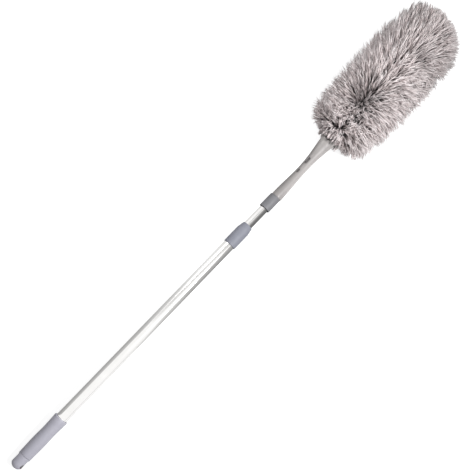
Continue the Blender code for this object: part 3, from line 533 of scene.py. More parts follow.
class DUSTER_OT_turned_pieces(bpy.types.Operator):
    """Round pieces of the pole: hand grip, steel tubes, collar with its cone nose, ferrule"""

    bl_idname = "duster.turned_pieces"
    bl_label = "Grip, tubes, collar and ferrule"

    def execute(self, context):
        sizes = context.scene.duster_sizes
        outer, inner = OUTER_TUBE_R + GAP, INNER_TUBE_R + GAP
        rings = outer_rings("hand_grip")
        grip = [(outer, rings[0][1]), *rings, (outer, rings[-1][1])]
        lower, upper = (
            straight_wall(radius, radius - TUBE_WALL, low, high)
            for low, high, radius in (reach("outer_tube"), reach("inner_tube"))
        )
        nose, cone, rim, bevel = 8.75 * MM, 12.2 * MM, 1.6 * MM, 1.2 * MM
        ceiling = reach("guide_bush")[1] + GAP
        collar = [
            (outer, COLLAR_LOW), (COLLAR_R - 0.2 * MM, COLLAR_LOW),
            (COLLAR_R, COLLAR_LOW + bevel), (COLLAR_R, COLLAR_TOP - cone),
            (nose + 0.35 * MM, COLLAR_TOP - rim), (nose, COLLAR_TOP),
            (inner, COLLAR_TOP), (inner, ceiling), (outer, ceiling),
        ]
        socket, skirt, hollow = 5.6 * MM, FERRULE_R - 1.1 * MM, 3 * MM
        ceiling = reach("socket_insert")[1] + GAP
        ferrule = [
            (skirt, FERRULE_LOW), (FERRULE_R, FERRULE_LOW), (FERRULE_R, FERRULE_TOP),
            (socket, FERRULE_TOP), (socket, ceiling), (inner, ceiling),
            (inner, FERRULE_LOW + hollow + 1 * MM), (skirt, FERRULE_LOW + hollow),
        ]

        # The rounding of an edge is its width, its segments and the angle from which it counts
        edge, plastic, steel = sizes.edge, "grey_plastic", "polished_steel"
        thin = (0.15 * MM, 2, 30)
        pieces = (
            ("hand_grip", "grip_sleeve", grip, (edge / 2, 3, 35), "handle", plastic, GRIP_PLASTIC),
            ("outer_tube", "lower_pole", lower, thin, "handle", steel, OUTER_STEEL),
            ("inner_tube", "upper_pole", upper, thin, "inner_pole", steel, INNER_STEEL),
            ("collar", "nose_collar", collar, (edge, 3, 12), "handle", plastic, COLLAR_PLASTIC),
            ("ferrule", "pole_ferrule", ferrule, (edge, 3, 30), "inner_pole", plastic, FERRULE_PLASTIC),
        )
        for node, name, profile, rounding, body, slot, material in pieces:
            piece = turned_wall(name, profile, sizes.sides)
            soften(piece, *rounding)
            lay_down(piece, node, body, material)
        return {"FINISHED"}


# Neck: each section is a share of its height, a half width and a side shift in mm
NECK_SECTIONS = (
    (0.000, 9.5, -1.0),
    (0.155, 9.0, -0.8),
    (0.330, 7.8, -0.5),
    (0.505, 7.2, -0.1),
    (0.670, 8.2, 0.7),
    (0.835, 10.7, 1.4),
    (1.000, 13.2, 1.9),
)
NECK_FOOT = FERRULE_TOP + GAP
NECK_LENGTH = NECK_TOP - NECK_FOOT
NECK_WAIST = 0.505
NECK_MOUTH_FLAT = 0.82
NECK_WALL = 1.9 * MM
NECK_FLOOR = 14 * MM
NECK_SPIGOT_R = 5.3 * MM
# Windows: height over the foot, length and width in mm; flutes: turn, low and high end
WINDOW_TURN = radians(58)
NECK_WINDOWS = ((56.7, 7.8, 4.6), (79.9, 12.8, 5.2))
NECK_FLUTES = ((112, 4, 118), (138, 4, 112))
FLUTE_R = 1.6 * MM
FLUTE_DEPTH = 0.45 * MM
SCOOP_R = 7.5 * MM


def smooth_line(stations, place):
    """The value at this place on a smooth line through (place, value) stations."""
    places = [station[0] for station in stations]
    low = max(index for index in range(len(places) - 1) if places[index] <= place)

    def slope(index):
        before, after = stations[max(index - 1, 0)], stations[min(index + 1, len(stations) - 1)]
        return (after[1] - before[1]) / (after[0] - before[0])

    span = places[low + 1] - places[low]
    share = (place - places[low]) / span
    square, cube = share**2, share**3
    return (
        (2 * cube - 3 * square + 1) * stations[low][1]
        + (cube - 2 * square + share) * span * slope(low)
        + (3 * square - 2 * cube) * stations[low + 1][1]
        + (cube - square) * span * slope(low + 1)
    )


def neck_ring(height, inset=0.0):
    """Ring of the neck at this height over its foot, for ring_stack."""
    share = min(max(height / NECK_LENGTH, 0), 1)
    width = smooth_line([(s, half) for s, half, _ in NECK_SECTIONS], share) * MM - inset
    shift = smooth_line([(s, side) for s, _, side in NECK_SECTIONS], share) * MM
    flare = max(share - NECK_WAIST, 0) / (1 - NECK_WAIST)
    flat = 1 - (1 - NECK_MOUTH_FLAT) * flare**2 * (3 - 2 * flare)
    return (NECK_FOOT + height, width, width * flat, shift)


def flute(turn, low, high):
    """Long round cutter that leaves a shallow groove down the neck's side."""
    start()
    bpy.ops.mesh.primitive_cylinder_add(vertices=24, radius=1, depth=1, location=(0, 0, 0))
    made = bpy.context.object
    ends = []
    for height, width, depth, shift in (neck_ring(low), neck_ring(high)):
        middle = Vector((shift + width * cos(turn), depth * sin(turn), height))
        outward = Vector((depth * cos(turn), width * sin(turn), 0)).normalized()
        ends.append(middle + outward * (FLUTE_R - FLUTE_DEPTH))
    for vertex in made.data.vertices:
        end = ends[1] if vertex.co.z > 0 else ends[0]
        vertex.co = end + Vector((vertex.co.x * FLUTE_R, vertex.co.y * FLUTE_R, 0))
    return made


class DUSTER_OT_neck(bpy.types.Operator):
    """Moulded neck of the head: flare, flutes, two snap windows and a scooped mouth"""

    bl_idname = "duster.neck"
    bl_label = "Neck"

    def execute(self, context):
        point = NECK_SPIGOT_R - 0.6 * MM
        rings = [(NECK_SPIGOT_LOW, point, point, 0)]
        for height in (NECK_SPIGOT_LOW + 0.9 * MM, NECK_FOOT):
            rings.append((height, NECK_SPIGOT_R, NECK_SPIGOT_R, 0))
        rings.append(neck_ring(0, GAP))
        rings += [neck_ring(NECK_LENGTH * step / 32) for step in range(1, 33)]
        rings.append(neck_ring(NECK_LENGTH, 0.3 * MM))
        hollow = NECK_LENGTH - NECK_FLOOR
        rings += [
            neck_ring(NECK_FLOOR + hollow * step / 16, NECK_WALL) for step in range(16, -1, -1)
        ]
        neck = ring_stack("head_neck", rings, context.scene.duster_sizes.sides)
        for place, tall, wide in NECK_WINDOWS:
            size = (20 * MM, wide * MM, tall * MM)
            middle = (10 * MM + NECK_WALL, 0, NECK_FOOT + place * MM)
            carve(neck, rounded_bar("window", size, middle, 0.49 * wide * MM, WINDOW_TURN))
        for turn, low, high in NECK_FLUTES:
            carve(neck, flute(radians(turn), low * MM, high * MM))
        start()
        bpy.ops.mesh.primitive_uv_sphere_add(segments=48, ring_count=24, radius=SCOOP_R)
        ball = bpy.context.object
        out = neck_ring(NECK_LENGTH)[1] * 0.95
        place = Vector((out * cos(WINDOW_TURN), out * sin(WINDOW_TURN), NECK_TOP + 1.5 * MM))
        ball.data.transform(Matrix.Translation(place))
        carve(neck, ball)
        soften(neck, 0.3 * MM, segments=2, limit=35)
        lay_down(neck, "neck", "head", NECK_PLASTIC)
        return {"FINISHED"}


class DUSTER_OT_inner_pieces(bpy.types.Operator):
    """Core of the head and the twist lock, with their edges rounded"""

    bl_idname = "duster.inner_pieces"
    bl_label = "Core and lock"

    def execute(self, context):
        nylon = ("natural_nylon", PALE_NYLON)
        zinc = ("zinc_steel", ZINC_STEEL)
        fine, round_edge = 0.12 * MM, 0.4 * MM
        pieces = (
            ("core_root", "root_block", 0.3 * MM, "head", "dark_plastic", ROOT_PLASTIC_AND_SLOT_SHADE),
            ("core_wire", "wire_loop", fine, "head", "coated_wire", WIRE_COAT),
            ("core_bridge_1", "lower_bridge", round_edge, "head", *nylon),
            ("core_bridge_2", "middle_bridge", round_edge, "head", *nylon),
            ("core_bridge_3", "upper_bridge", round_edge, "head", *nylon),
            ("tip_cap", "loop_cap", round_edge, "head", *nylon),
            ("guide_bush", "pole_bush", fine, "handle", *nylon),
            ("socket_insert", "pole_socket", fine, "inner_pole", *nylon),
            ("lock_plug", "screw_plug", fine, "inner_pole", *nylon),
            ("lock_spindle", "lock_screw", fine, "inner_pole", *zinc),
            ("spindle_stop", "lock_washer", fine, "inner_pole", *zinc),
            ("expander_sleeve", "lock_expander", fine, "lock_carriage", *nylon),
            ("lock_cone", "lock_nut", fine, "lock_cone", *nylon),
        )
        for piece in pieces:
            refine(*piece)
        return {"FINISHED"}


# Sleeve and pile
def add_hem():
    """A ring of gathers: every fourth section of a torus is drawn in."""
    start()
    minor = (HEM_TOP - HEM_LOW) / 2
    gathers, steps = 36, 4
    bpy.ops.mesh.primitive_torus_add(
        major_segments=gathers * steps, minor_segments=16,
        major_radius=HEM_R - minor, minor_radius=minor,
    )
    hem = bpy.context.object
    hem.name = hem.data.name = "gathered_hem"
    hem.data.transform(Matrix.Translation((0, 0, (HEM_LOW + HEM_TOP) / 2)))
    set_mode("EDIT")
    bpy.ops.mesh.select_all(action="DESELECT")
    set_mode("OBJECT")
    for vertex in hem.data.vertices:
        turn = atan2(vertex.co.y, vertex.co.x) / (2 * pi) * gathers
        vertex.select = abs(turn - round(turn)) < 0.1
    set_mode("EDIT")
    bpy.ops.transform.shrink_fatten(value=-0.45 * MM)
    set_mode("OBJECT")
    wrap_uv(hem)
    choose(hem)
    bpy.ops.object.shade_smooth()
    lay_down(hem, "sleeve_hem", "sleeve", POCKET_CLOTH)


class DUSTER_OT_pocket(bpy.types.Operator):
    """Cloth pocket of the sleeve and its gathered hem"""

    bl_idname = "duster.pocket"
    bl_label = "Pocket and hem"

    def execute(self, context):
        bore = POCKET_R - 0.8 * MM
        dome = POCKET_TOP - POCKET_R
        wall = [(POCKET_R, POCKET_LOW + (dome - POCKET_LOW) * step / 30) for step in range(30)]
        wall += [*dome_wall(dome, POCKET_R, bore), (bore, POCKET_LOW)]
        pocket = turned_wall("cloth_pocket", wall, context.scene.duster_sizes.sides)
        wrap_uv(pocket)
        soften(pocket, 0.1 * MM, segments=1)
        lay_down(pocket, "sleeve_pocket", "sleeve", POCKET_CLOTH)
        add_hem()
        return {"FINISHED"}


# Outline of the pile: share of its length, then its radius as a share of the largest, over
# and under the pole, at the left side and at the right side
PILE_OUTLINE = (
    (0.000, 0.42, 0.28, 0.25), (0.034, 0.56, 0.36, 0.28), (0.046, 0.62, 0.48, 0.76),
    (0.062, 0.71, 0.68, 0.94), (0.081, 0.80, 0.83, 0.90), (0.130, 0.89, 0.91, 0.92),
    (0.196, 0.93, 0.94, 0.96), (0.279, 0.96, 0.97, 0.99), (0.378, 0.98, 0.99, 1.00),
    (0.511, 1.00, 1.02, 1.00), (0.643, 0.99, 1.03, 0.99), (0.742, 0.98, 1.02, 0.97),
    (0.808, 0.94, 0.98, 0.96), (0.858, 0.90, 0.94, 0.93), (0.894, 0.86, 0.92, 0.86),
    (0.924, 0.80, 0.92, 0.79), (0.954, 0.69, 0.93, 0.67), (0.980, 0.55, 0.85, 0.51),
    (1.000, 0.42, 0.66, 0.40), (1.014, 0.30, 0.42, 0.30), (1.024, 0.00, 0.00, 0.00),
)
# Which way the strands' ends lie: height of the root in mm, sweep to the tip at the right
# side, at the left side, what is added on the upper side, where they part at a hollow, and
# how far the parting is from the top line, in degrees to the right
SWEEPS = (
    (704, -0.25, -0.20, 0.00, -25),
    (727, -0.20, 0.00, 0.00, -32),
    (750, -0.35, 0.05, 0.00, 5),
    (766, -0.35, 0.00, -0.15, 15),
    (782, -0.20, 0.05, -0.35, -10),
    (796, 0.00, 0.12, 0.25, -15),
    (816, 0.06, 0.35, 0.15, -5),
    (850, 0.10, 0.55, 0.15, -14),
    (875, 0.20, 0.75, 0.00, -12),
    (895, 0.22, 1.50, 0.00, -10),
    (920, 0.30, 1.90, 0.00, 0),
    (967, 0.70, 2.20, 0.00, 0),
)
# Turn and height of the dark hollow, where strands part and are short and painted shade darkens them, and
# of the dark streak over it, which is only painted shade, and how large they are
HOLLOW = (radians(76), 790 * MM)
HOLLOW_SIZE = 30 * MM
PAINTED_STREAK = (radians(95), 891 * MM)
PAINTED_STREAK_SIZE = 10 * MM
PAINTED_STREAK_STRETCH = 1.6
# Middle of the curls under the hollow, across and along from it, and their size
CURLS = (14 * MM, -34 * MM)
CURLS_SIZE = (26 * MM, 20 * MM)
# How unevenly tufts lean, and the strands of a tuft
TUFT_LEAN = 0.22
STRAND_LEAN = 0.16
SURFACE_R = 45 * MM
TAPE_R = 17.0 * MM
TAPE_BORE = 15.1 * MM
TAPE_HEIGHT = 35.3 * MM
TAPES_LOW = HEM_TOP + GAP
TAPES_TOP = TAPES_LOW + len(STRIPS) * (TAPE_HEIGHT + GAP)
PILE_R = 67.2 * MM
PILE_LOW = HEM_LOW - 11 * MM
PILE_TOP = TAPES_TOP + 37.9 * MM
PILE_UNDERCUT = 0.035
TURNED_BACK = 17 * MM
SHORT_IN_HOLLOW = 0.58
STATIONS = 8


def hump(*terms):
    """1 in the middle and fading outwards; a term is a distance and how far it reaches."""
    return np.exp(-sum((distance / size) ** 2 for distance, size in terms))


def climb(value, start, span):
    """Goes from 0 to 1 over a span."""
    return np.clip((value - start) / span, 0, 1)


def unit(vectors):
    return vectors / np.linalg.norm(vectors, axis=-1, keepdims=True)


def sweep(turn, height):
    """Sweep to the tip, and the fall to each side, of the strands that grow here."""
    places, right, left, above, parting = zip(*SWEEPS)
    leftness = 0.5 + 0.5 * np.cos(turn)
    front = np.clip(np.cos(turn - HOLLOW[0]), 0, 1) ** 0.8
    at_right, at_left, on_top, shift = (
        np.interp(height / MM, places, row) for row in (right, left, above, parting)
    )
    fall = -np.cos(turn - np.radians(shift))
    return at_right * (1 - leftness) + at_left * leftness + front * on_top, fall


def pile_radius(heights, turn):
    """Radius of the pile's outline at these heights and turns; it starts later underneath."""
    leftness = 0.5 + 0.5 * np.cos(turn)
    share = (heights - PILE_LOW) / (PILE_TOP - PILE_LOW)
    share = share - PILE_UNDERCUT * np.clip(-np.sin(turn), 0, 1) * np.clip(1 - share / 0.3, 0, 1)
    places, *sides = zip(*PILE_OUTLINE)
    middle, left, right = (np.interp(share, places, side, left=0.3, right=0.0) for side in sides)
    at_left = np.clip(2 * leftness - 1, 0, 1) ** 1.2
    at_right = np.clip(1 - 2 * leftness, 0, 1) ** 1.2
    return (middle + (left - middle) * at_left + (right - middle) * at_right) * PILE_R


def tuft_roots(random, low, rows, columns):
    """Turn, rise and height of the tufts on one strip, staggered from row to row."""
    row, column = np.divmod(np.arange(rows * columns), columns)
    turn = (column + 0.5 * (row % 2) + random.uniform(-0.2, 0.2, row.size)) * 2 * np.pi / columns
    height = low + (row + 0.5 + random.uniform(-0.25, 0.25, row.size)) * TAPE_HEIGHT / rows
    return turn, np.zeros(row.size), height


def dome_roots(random, count):
    """Turn, rise and height of tufts spread evenly over the dome at the tip."""
    index = np.arange(count)
    rise = np.arcsin((index + 0.5) / count)
    turn = index * np.pi * (3 - np.sqrt(5)) + random.uniform(-0.1, 0.1, count)
    return turn, rise, np.full(count, TAPES_TOP)


def painted_strand_shade(turn, height, across, above):
    """Painted shade and painted highlight: dark in the hollow, at the streak and on the tip's right side,
    pale on two ridges.
    """
    hollow = 0.5 * hump((across, 23 * MM), (above, 23 * MM))
    streak_across = (turn - PAINTED_STREAK[0]) * SURFACE_R
    streak = 0.6 * hump(
        (streak_across, PAINTED_STREAK_STRETCH * PAINTED_STREAK_SIZE), (height - PAINTED_STREAK[1], PAINTED_STREAK_SIZE)
    )
    shady = 0.45 * climb(height, 815 * MM, 90 * MM) * (0.5 - 0.5 * np.cos(turn)) ** 2
    over = climb(height, 820 * MM, 20 * MM) * (1 - climb(height, 890 * MM, 30 * MM))
    over = over * hump((across - 9 * MM, 16 * MM))
    under = hump((across - 11 * MM, 20 * MM), (above + 56 * MM, 12 * MM))
    return (1 - hollow) * (1 - streak) * (1 - shady) * (1 + 0.55 * (over + under))


def length_to_outline(base, aim, turn, uneven):
    """How far each strand goes from its base to the uneven outline, found by halving."""
    low, high = np.full(turn.size, 4 * MM), np.full(turn.size, 120 * MM)
    for _ in range(24):
        middle = (low + high) / 2
        point = base + aim * middle[:, None]
        inside = np.hypot(point[:, 0], point[:, 1]) < pile_radius(point[:, 2], turn) * uneven
        low, high = np.where(inside, middle, low), np.where(inside, high, middle)
    return low


def strand_lines(random, roots, settings):
    """Points along every strand in the pole's frame, and the tint of each strand."""
    turn, rise, height = (np.repeat(part, settings.strands) for part in roots)
    count = turn.size
    tufts = count // settings.strands

    def per_tuft(spread):
        return np.repeat(random.normal(0, spread, tufts), settings.strands)

    def per_strand(spread):
        return random.normal(0, spread, count)

    def uneven_lean(wild):
        return wild * (per_tuft(TUFT_LEAN) + per_strand(STRAND_LEAN))

    # Swept by the table, drifting round the pile, and wilder on the right side of the tip
    drift = 0.13 * np.sin(3 * turn + height / (17 * MM)) + 0.1 * np.sin(5 * turn - height / (11 * MM))
    ahead, fall = sweep(turn, height)
    wild = 1 + 0.9 * climb(height, 840 * MM, 30 * MM) * (0.5 - 0.5 * np.cos(turn)) ** 2
    ahead = ahead + drift + uneven_lean(wild)
    aside = fall * (1 - 0.4 * fall**2) + uneven_lean(wild)

    # Away from the hollow on the upper side, with curls under it
    across = ((turn - HOLLOW[0] + np.pi) % (2 * np.pi) - np.pi) * SURFACE_R
    above = height - HOLLOW[1]
    far = np.sqrt(across**2 + above**2)
    near = hump((far, HOLLOW_SIZE))
    aside = aside + 0.9 * near * across / (far + 6 * MM)
    ahead = ahead + 0.5 * near * above / (far + 6 * MM)
    curly = hump((across - CURLS[0], CURLS_SIZE[0]), (above - CURLS[1], CURLS_SIZE[1]))
    aside = aside + curly * per_tuft(0.8)
    ahead = ahead + curly * per_tuft(0.6)

    # Turned back over the neck at the hem
    hem = climb(height, TAPES_LOW, TURNED_BACK)
    ahead = ahead * (1 + 1.6 * (1 - hem)) - 4.6 * (1 - hem) ** 2

    out = np.stack([np.cos(turn), np.sin(turn), 0 * turn], 1)
    side = np.stack([-np.sin(turn), np.cos(turn), 0 * turn], 1)
    up = np.array([0.0, 0.0, 1.0])
    normal = out * np.cos(rise)[:, None] + up * np.sin(rise)[:, None]
    axis = up * height[:, None]
    root = axis + normal * (TAPE_R - 0.6 * MM)
    lie = side * (aside * np.cos(rise))[:, None] + up * ahead[:, None]
    aim = unit(normal + 0.45 * lie)
    end = unit(0.55 * normal + 0.85 * lie)
    base = np.where((rise > 0)[:, None], axis, root)

    # Out to the outline, but short in the hollow and at the hem
    apart = np.sqrt(random.uniform(0.1, 1, count))
    uneven = np.minimum(1.01 + per_tuft(0.055) + per_strand(0.04) - 0.07 * apart**2, 1.1)
    size = length_to_outline(base, aim, turn, uneven)
    size = np.minimum(size, settings.longest * (1 + 0.06 * per_strand(1)))
    size = size * (1 - SHORT_IN_HOLLOW * hump((far, 22 * MM)))
    size = np.minimum(size, (17 + 75 * hem) * MM * (1 + per_strand(0.15)))
    tip = base + aim * size[:, None]
    length = np.linalg.norm(tip - root, axis=1)[:, None]
    corners = (root, root + normal * length * 0.45, tip - end * length * 0.42, tip)
    place = np.linspace(0, 1, STATIONS)[None, :, None]
    weights = ((1 - place) ** 3, 3 * place * (1 - place) ** 2, 3 * place**2 * (1 - place), place**3)
    line = sum(w * corner[:, None, :] for w, corner in zip(weights, corners))

    # Strands of a tuft swell apart and meet again at their tips, and each one waves
    place = place[:, :, 0]
    second = unit(np.cross(side, unit(tip - root)))
    angle = random.uniform(0, 2 * np.pi, count)
    swell = (0.9 + 2.6 * np.sin(np.pi * place**0.65) ** 1.5) * MM * apart[:, None]
    for way, share in ((side, np.cos(angle)), (second, np.sin(angle))):
        wave = (random.uniform(12, 22, count) * MM / (1 + 0.5 * curly))[:, None]
        phase = random.uniform(0, 2 * np.pi, count)[:, None]
        wave_height = (random.uniform(0.3, 1.0, count) * (1 + 2.2 * curly))[:, None] * MM
        ripple = wave_height * np.sin(2 * np.pi * place * (length / wave) + phase)
        line = line + way[:, None, :] * (swell * share[:, None] + ripple * place)[:, :, None]

    # Painted shade and highlight of each strand, which darkens or lightens its root-to-tip ramp
    painted_lightness = painted_strand_shade(turn, height, across, above)
    tufted = np.repeat(random.uniform(0, 1, tufts), settings.strands)
    return line, np.stack([painted_lightness, random.uniform(0, 1, count), tufted], 1)


def strand_mesh(name, random, line, shade, radius):
    """Three-sided tapering strands, laid on the floor, with their tint."""
    count = line.shape[0]
    line = line @ np.array(POLE.to_3x3()).T + np.array(POLE.translation)
    rest = (0.6 + random.uniform(0, 0.5, count))[:, None] * MM
    line[:, :, 2] = np.maximum(line[:, :, 2], rest)
    tangent = unit(np.gradient(line, axis=1))
    guide = np.array(ALONG)[None, None, :] + np.zeros_like(line)
    guide[np.abs((tangent * guide).sum(2)) > 0.92] = np.array(ACROSS)
    one = unit(np.cross(tangent, guide))
    two = np.cross(tangent, one)
    place = np.linspace(0, 1, STATIONS)
    thick = np.interp(place, [0, 0.25, 0.6, 0.85, 1], [0.5, 0.9, 1.0, 0.7, 0.15]) * radius
    thick = thick[None, :] * random.uniform(0.75, 1.25, count)[:, None]
    start_turn = random.uniform(0, 2 * np.pi, count)[:, None]
    rings = []
    for corner in range(3):
        angle = start_turn + corner * 2 * np.pi / 3
        way = one * np.cos(angle)[:, :, None] + two * np.sin(angle)[:, :, None]
        rings.append(line + way * thick[:, :, None])
    rings = np.stack(rings, 2)[:, :-1]
    points = np.concatenate([rings.reshape(count, -1, 3), line[:, -1:, :]], 1)
    each = points.shape[1]

    # One strand's faces: a foot, sides between its rings, and a point
    faces = [[2, 1, 0]]
    for step in range(STATIONS - 2):
        for corner in range(3):
            a, b = 3 * step + corner, 3 * step + (corner + 1) % 3
            faces.append([a, b, b + 3, a + 3])
    last = 3 * (STATIONS - 2)
    faces += [[last + corner, last + (corner + 1) % 3, each - 1] for corner in range(3)]
    feet = range(0, count * each, each)
    mesh = bpy.data.meshes.new(name)
    mesh.from_pydata(
        points.reshape(-1, 3), [], [[foot + corner for corner in face] for foot in feet for face in faces]
    )
    mesh.shade_smooth()
    tint = np.ones((count, each, 4), np.float32)
    tint[:, :, :3] = shade[:, None, :]
    # First channel: place along the strand times its painted lightness, which the material turns into
    # painted shade from dark roots to pale tips
    tint[:, :, 0] *= np.append(np.repeat(place[:-1], 3), 1.0)[None, :]
    colours = mesh.color_attributes.new("tint", "FLOAT_COLOR", "POINT")
    colours.data.foreach_set("color", tint.reshape(-1))
    mesh.validate()
    return mesh


def fringe(name, node, tape, roots, random, settings):
    """One strip: its tape and the strands that grow from it, as one piece."""
    line, shade = strand_lines(random, roots, settings)
    mesh = strand_mesh(name, random, line, shade, settings.strand_radius)
    strands = bpy.data.objects.new(name, mesh)
    bpy.context.scene.collection.objects.link(strands)
    tape.data.transform(POLE)
    choose(strands)
    tape.select_set(True)
    bpy.ops.object.join()
    dress(strands, node, "sleeve", PILE_FIBRE)


class DUSTER_OT_pile(bpy.types.Operator):
    """Strips of fluffy fringe round the pocket, and the tuft that closes the tip"""

    bl_idname = "duster.pile"
    bl_label = "Pile"

    def execute(self, context):
        settings = context.scene.duster_pile
        sides = 48
        for index, node in enumerate(STRIPS):
            random = np.random.RandomState(settings.seed + index)
            low = TAPES_LOW + index * (TAPE_HEIGHT + GAP)
            wall = straight_wall(TAPE_R, TAPE_BORE, low, low + TAPE_HEIGHT)
            tape = turned_wall("tape", wall, sides)
            roots = tuft_roots(random, low, settings.rows, settings.columns)
            fringe(f"fringe_row_{index + 1}", node, tape, roots, random, settings)
        random = np.random.RandomState(settings.seed + len(STRIPS))
        tape = turned_wall("tape", dome_wall(TAPES_TOP, TAPE_R, TAPE_BORE), sides)
        roots = dome_roots(random, 2 * settings.rows * settings.columns // 3)
        fringe("tip_fringe", "tip_tuft", tape, roots, random, settings)
        return {"FINISHED"}


# Stage
CAMERA_AIM = 487.7 * MM
CAMERA_RANGE = 1150 * MM
CAMERA_TILT = radians(9)
CAMERA_ROLL = radians(45.93)
CAMERA_NUDGE = 2.9 * MM
SENSOR = 36.0
FOCAL_PIXELS = 714.3
IMAGE_PIXELS = 470
FLOOR_SIZE = 30
SKY_SEEN = 1.05
# Lamps: name, place and size in metres
LAMPS = (("key", (0.1, -0.8, 1.45), 0.22), ("fill", (0.4, 0.85, 0.95), 0.6))
LAMPS_AIM = Vector((0, 0, 0.05))

# Cards that give the steel its grey bands, and the mouldings a dark or a bright side: name,
# turn about the pole in degrees, distance from its middle in mm, whether matt pieces see it
# and not mirrors, then its edges: height along the pole, lower and upper edge in mm,
# brightness at each edge
CARDS = (
    ("left_card", 0, 26, False, (
        (92, -18, 26, 0.22, 0.52), (120, -18, 26, 0.27, 0.62), (290, -24, 26, 0.33, 0.66),
        (350, -20, 18, 0.45, 0.78), (420, -8, 6, 0.8, 0.95), (508, -8, 4, 0.85, 0.95),
    )),
    ("right_card", 0, -26, False, (
        (190, -30, -12, 0.9, 0.95), (275, -34, 8, 0.45, 0.85), (340, -38, 24, 0.26, 0.75),
        (400, -44, 36, 0.18, 0.62), (508, -44, 44, 0.13, 0.55),
    )),
    ("top_card", 0, 26, False, (
        (300, 30, 60, 0.9, 0.95), (350, 30, 150, 0.7, 0.9), (508, 34, 200, 0.7, 0.9),
    )),
    ("upper_card", 0, -26, False, ((512, -24, 30, 0.16, 0.2), (600, -24, 30, 0.16, 0.2))),
    ("upper_glow", 0, -26, False, ((512, 30, 110, 0.3, 0.55), (650, 30, 110, 0.3, 0.55))),
    ("upper_top", 0, -26, False, ((512, 110, 400, 0.55, 0.62), (690, 110, 400, 0.55, 0.62))),
    ("upper_left", 0, 26, False, ((512, 18, 110, 1.0, 0.64), (650, 18, 110, 1.0, 0.64))),
    ("upper_left_top", 0, 26, False, ((512, 110, 400, 0.64, 0.62), (690, 110, 400, 0.64, 0.62))),
    ("under_card", -90, 15.5, False, ((98, -12, 12, 0.22, 0.22), (910, -12, 12, 0.22, 0.22))),
    ("low_card", 0, -26, False, ((92, -60, 2, 1.1, 1.1), (250, -60, 2, 1.0, 1.0))),
    ("grip_card", 0, 34, True, ((-30, 4, 70, 0.0, 0.0), (100, 4, 70, 0.0, 0.0))),
    ("neck_card", 0, 36, True, ((580, -10, 66, 0.0, 0.0), (690, -10, 66, 0.0, 0.0))),
    ("neck_glow", 0, -30, True, ((588, -40, 10, 2.4, 2.4), (680, -40, 10, 2.4, 2.4))),
)


def seen_rays(owner):
    """1 for rays of the camera, mirrors and glass, and 1 for those of mirrors."""
    path = add_node(owner, "LightPath").outputs
    seen = path["Is Camera Ray"]
    for kind in ("Is Glossy Ray", "Is Transmission Ray"):
        seen = add_node(owner, "Math", {0: seen, 1: path[kind]}, operation="MAXIMUM")
    return seen, path["Is Glossy Ray"]


def bare_material(name):
    """A material whose tree is still empty."""
    material = bpy.data.materials.new(name)
    material.use_nodes = True
    material.node_tree.nodes.clear()
    return material


def floor_material(shaded, seen_shaded, glow, mirrored):
    """A pale floor that lights the object as paper does, that looks white with a faint
    shadow to the camera, and pale grey in mirrors so that the steel stands out from it."""
    material = bare_material("pale_floor")
    seen, mirror = seen_rays(material)
    dimming = add_node(material, "MapRange", {"Value": mirror, "To Min": glow, "To Max": mirrored})
    strength = add_node(material, "Math", {0: seen, 1: dimming}, operation="MULTIPLY")
    tone = add_node(material, "MapRange", {"Value": seen, "To Min": shaded, "To Max": seen_shaded})
    plain = add_node(material, "BsdfDiffuse", {"Color": tone})
    light = add_node(material, "Emission", {"Color": (1, 1, 1, 1), "Strength": strength})
    both = add_node(material, "AddShader", {0: plain, 1: light})
    add_node(material, "OutputMaterial", {"Surface": both})
    return material


def add_sky(scene, strength):
    world = bpy.data.worlds.new("studio")
    world.use_nodes = True
    scene.world = world
    seen, _ = seen_rays(world)
    power = add_node(world, "MapRange", {"Value": seen, "To Min": strength, "To Max": SKY_SEEN})
    background = world.node_tree.nodes["Background"]
    fill(world, background, {"Color": (1, 1, 1, 1), "Strength": power})


def add_lamp(name, place, size, watts):
    start()
    bpy.ops.object.light_add(type="AREA", location=place)
    lamp = bpy.context.object
    lamp.name = name
    lamp.data.size = size
    lamp.data.energy = watts
    lamp.visible_camera = False
    aim = LAMPS_AIM - Vector(place)
    lamp.rotation_euler = aim.to_track_quat("-Z", "Y").to_euler()


def add_card(name, turn, across, matt, stations):
    """A studio card beside the pole, seen by mirrors, or by matt pieces only."""
    start()
    last = len(stations) - 1
    bpy.ops.mesh.primitive_grid_add(x_subdivisions=1, y_subdivisions=last, size=2)
    card = bpy.context.object
    card.name = name
    greys = card.data.color_attributes.new("grey", "FLOAT_COLOR", "POINT")
    for vertex, grey in zip(card.data.vertices, greys.data):
        height, *edges = stations[round((vertex.co.y + 1) / 2 * last)]
        place, shade = edges[1::2] if vertex.co.x > 0 else edges[::2]
        vertex.co = (across, place * MM, height * MM)
        grey.color = (shade, shade, shade, 1)
    card.data.transform(POLE @ Matrix.Rotation(turn, 4, "Z"))
    material = bare_material(name)
    grey = add_node(material, "Attribute", attribute_name="grey").outputs["Color"]
    glow = add_node(material, "Emission", {"Color": grey})
    add_node(material, "OutputMaterial", {"Surface": glow})
    card.data.materials.append(material)
    card.visible_camera = card.visible_shadow = card.visible_transmission = False
    card.visible_diffuse = matt
    card.visible_glossy = not matt


def add_camera(scene):
    """Over the middle of the pole, tilted a little to the tip and rolled so that the
    pole runs up to the right."""
    start()
    bpy.ops.object.camera_add()
    camera = bpy.context.object
    back = cos(CAMERA_TILT) * OUT - sin(CAMERA_TILT) * ALONG
    rise = (ALONG - ALONG.dot(back) * back).normalized()
    right = cos(CAMERA_ROLL) * rise - sin(CAMERA_ROLL) * ACROSS
    up = sin(CAMERA_ROLL) * rise + cos(CAMERA_ROLL) * ACROSS
    place = POLE @ Vector((0, 0, CAMERA_AIM)) + CAMERA_RANGE * back
    place += CAMERA_NUDGE * (up - right)
    turn = Matrix((right, up, back)).transposed().to_4x4()
    camera.matrix_world = Matrix.Translation(place) @ turn
    camera.data.sensor_width = SENSOR
    camera.data.lens = FOCAL_PIXELS / IMAGE_PIXELS * SENSOR
    camera.data.clip_start = 0.05
    scene.camera = camera


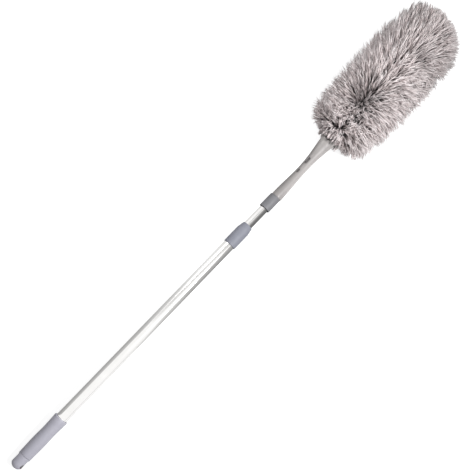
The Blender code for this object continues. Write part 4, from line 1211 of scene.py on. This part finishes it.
class DUSTER_OT_stage(bpy.types.Operator):
    """Floor, sky, lamps, cards and camera"""

    bl_idname = "duster.stage"
    bl_label = "Stage"

    def execute(self, context):
        settings = context.scene.duster_stage
        context.scene.view_settings.view_transform = "Standard"
        start()
        bpy.ops.mesh.primitive_plane_add(size=FLOOR_SIZE, location=(0, 0, 0))
        floor = context.object
        floor.name = "floor"
        floor.data.materials.append(
            floor_material(shaded=0.7, seen_shaded=0.3, glow=0.85, mirrored=0.4)
        )
        add_sky(context.scene, settings.sky)
        for name, place, size in LAMPS:
            add_lamp(name, place, size, getattr(settings, name + "_watts"))
        for name, turn, across, matt, stations in CARDS:
            add_card(name, radians(turn), across * MM, matt, stations)
        add_camera(context.scene)
        return {"FINISHED"}


class DUSTER_PT_panel(bpy.types.Panel):
    """Lists the duster's pieces and settings"""

    bl_label = "Extendable duster"
    bl_idname = "DUSTER_PT_panel"
    bl_space_type = "VIEW_3D"
    bl_region_type = "UI"
    bl_category = "Duster"

    def draw(self, context):
        for name in SETTINGS:
            for key in getattr(context.scene, name).__annotations__:
                self.layout.prop(getattr(context.scene, name), key)
        for step in STEPS:
            self.layout.operator(step.bl_idname)


SETTINGS = {
    "duster_sizes": DusterSizes,
    "duster_pile": DusterPile,
    "duster_stage": DusterStage,
}
STEPS = (
    DUSTER_OT_stage,
    DUSTER_OT_end_cap,
    DUSTER_OT_turned_pieces,
    DUSTER_OT_neck,
    DUSTER_OT_inner_pieces,
    DUSTER_OT_pocket,
    DUSTER_OT_pile,
)


def register():
    for made in (*SETTINGS.values(), *STEPS, DUSTER_PT_panel):
        bpy.utils.register_class(made)
    for name, group in SETTINGS.items():
        setattr(bpy.types.Scene, name, bpy.props.PointerProperty(type=group))


def unregister():
    for name in SETTINGS:
        delattr(bpy.types.Scene, name)
    for made in reversed((*SETTINGS.values(), *STEPS, DUSTER_PT_panel)):
        bpy.utils.unregister_class(made)


def main():
    register()
    for step in STEPS:
        getattr(bpy.ops.duster, step.bl_idname.split(".")[1])()


if __name__ == "__main__":
    main()
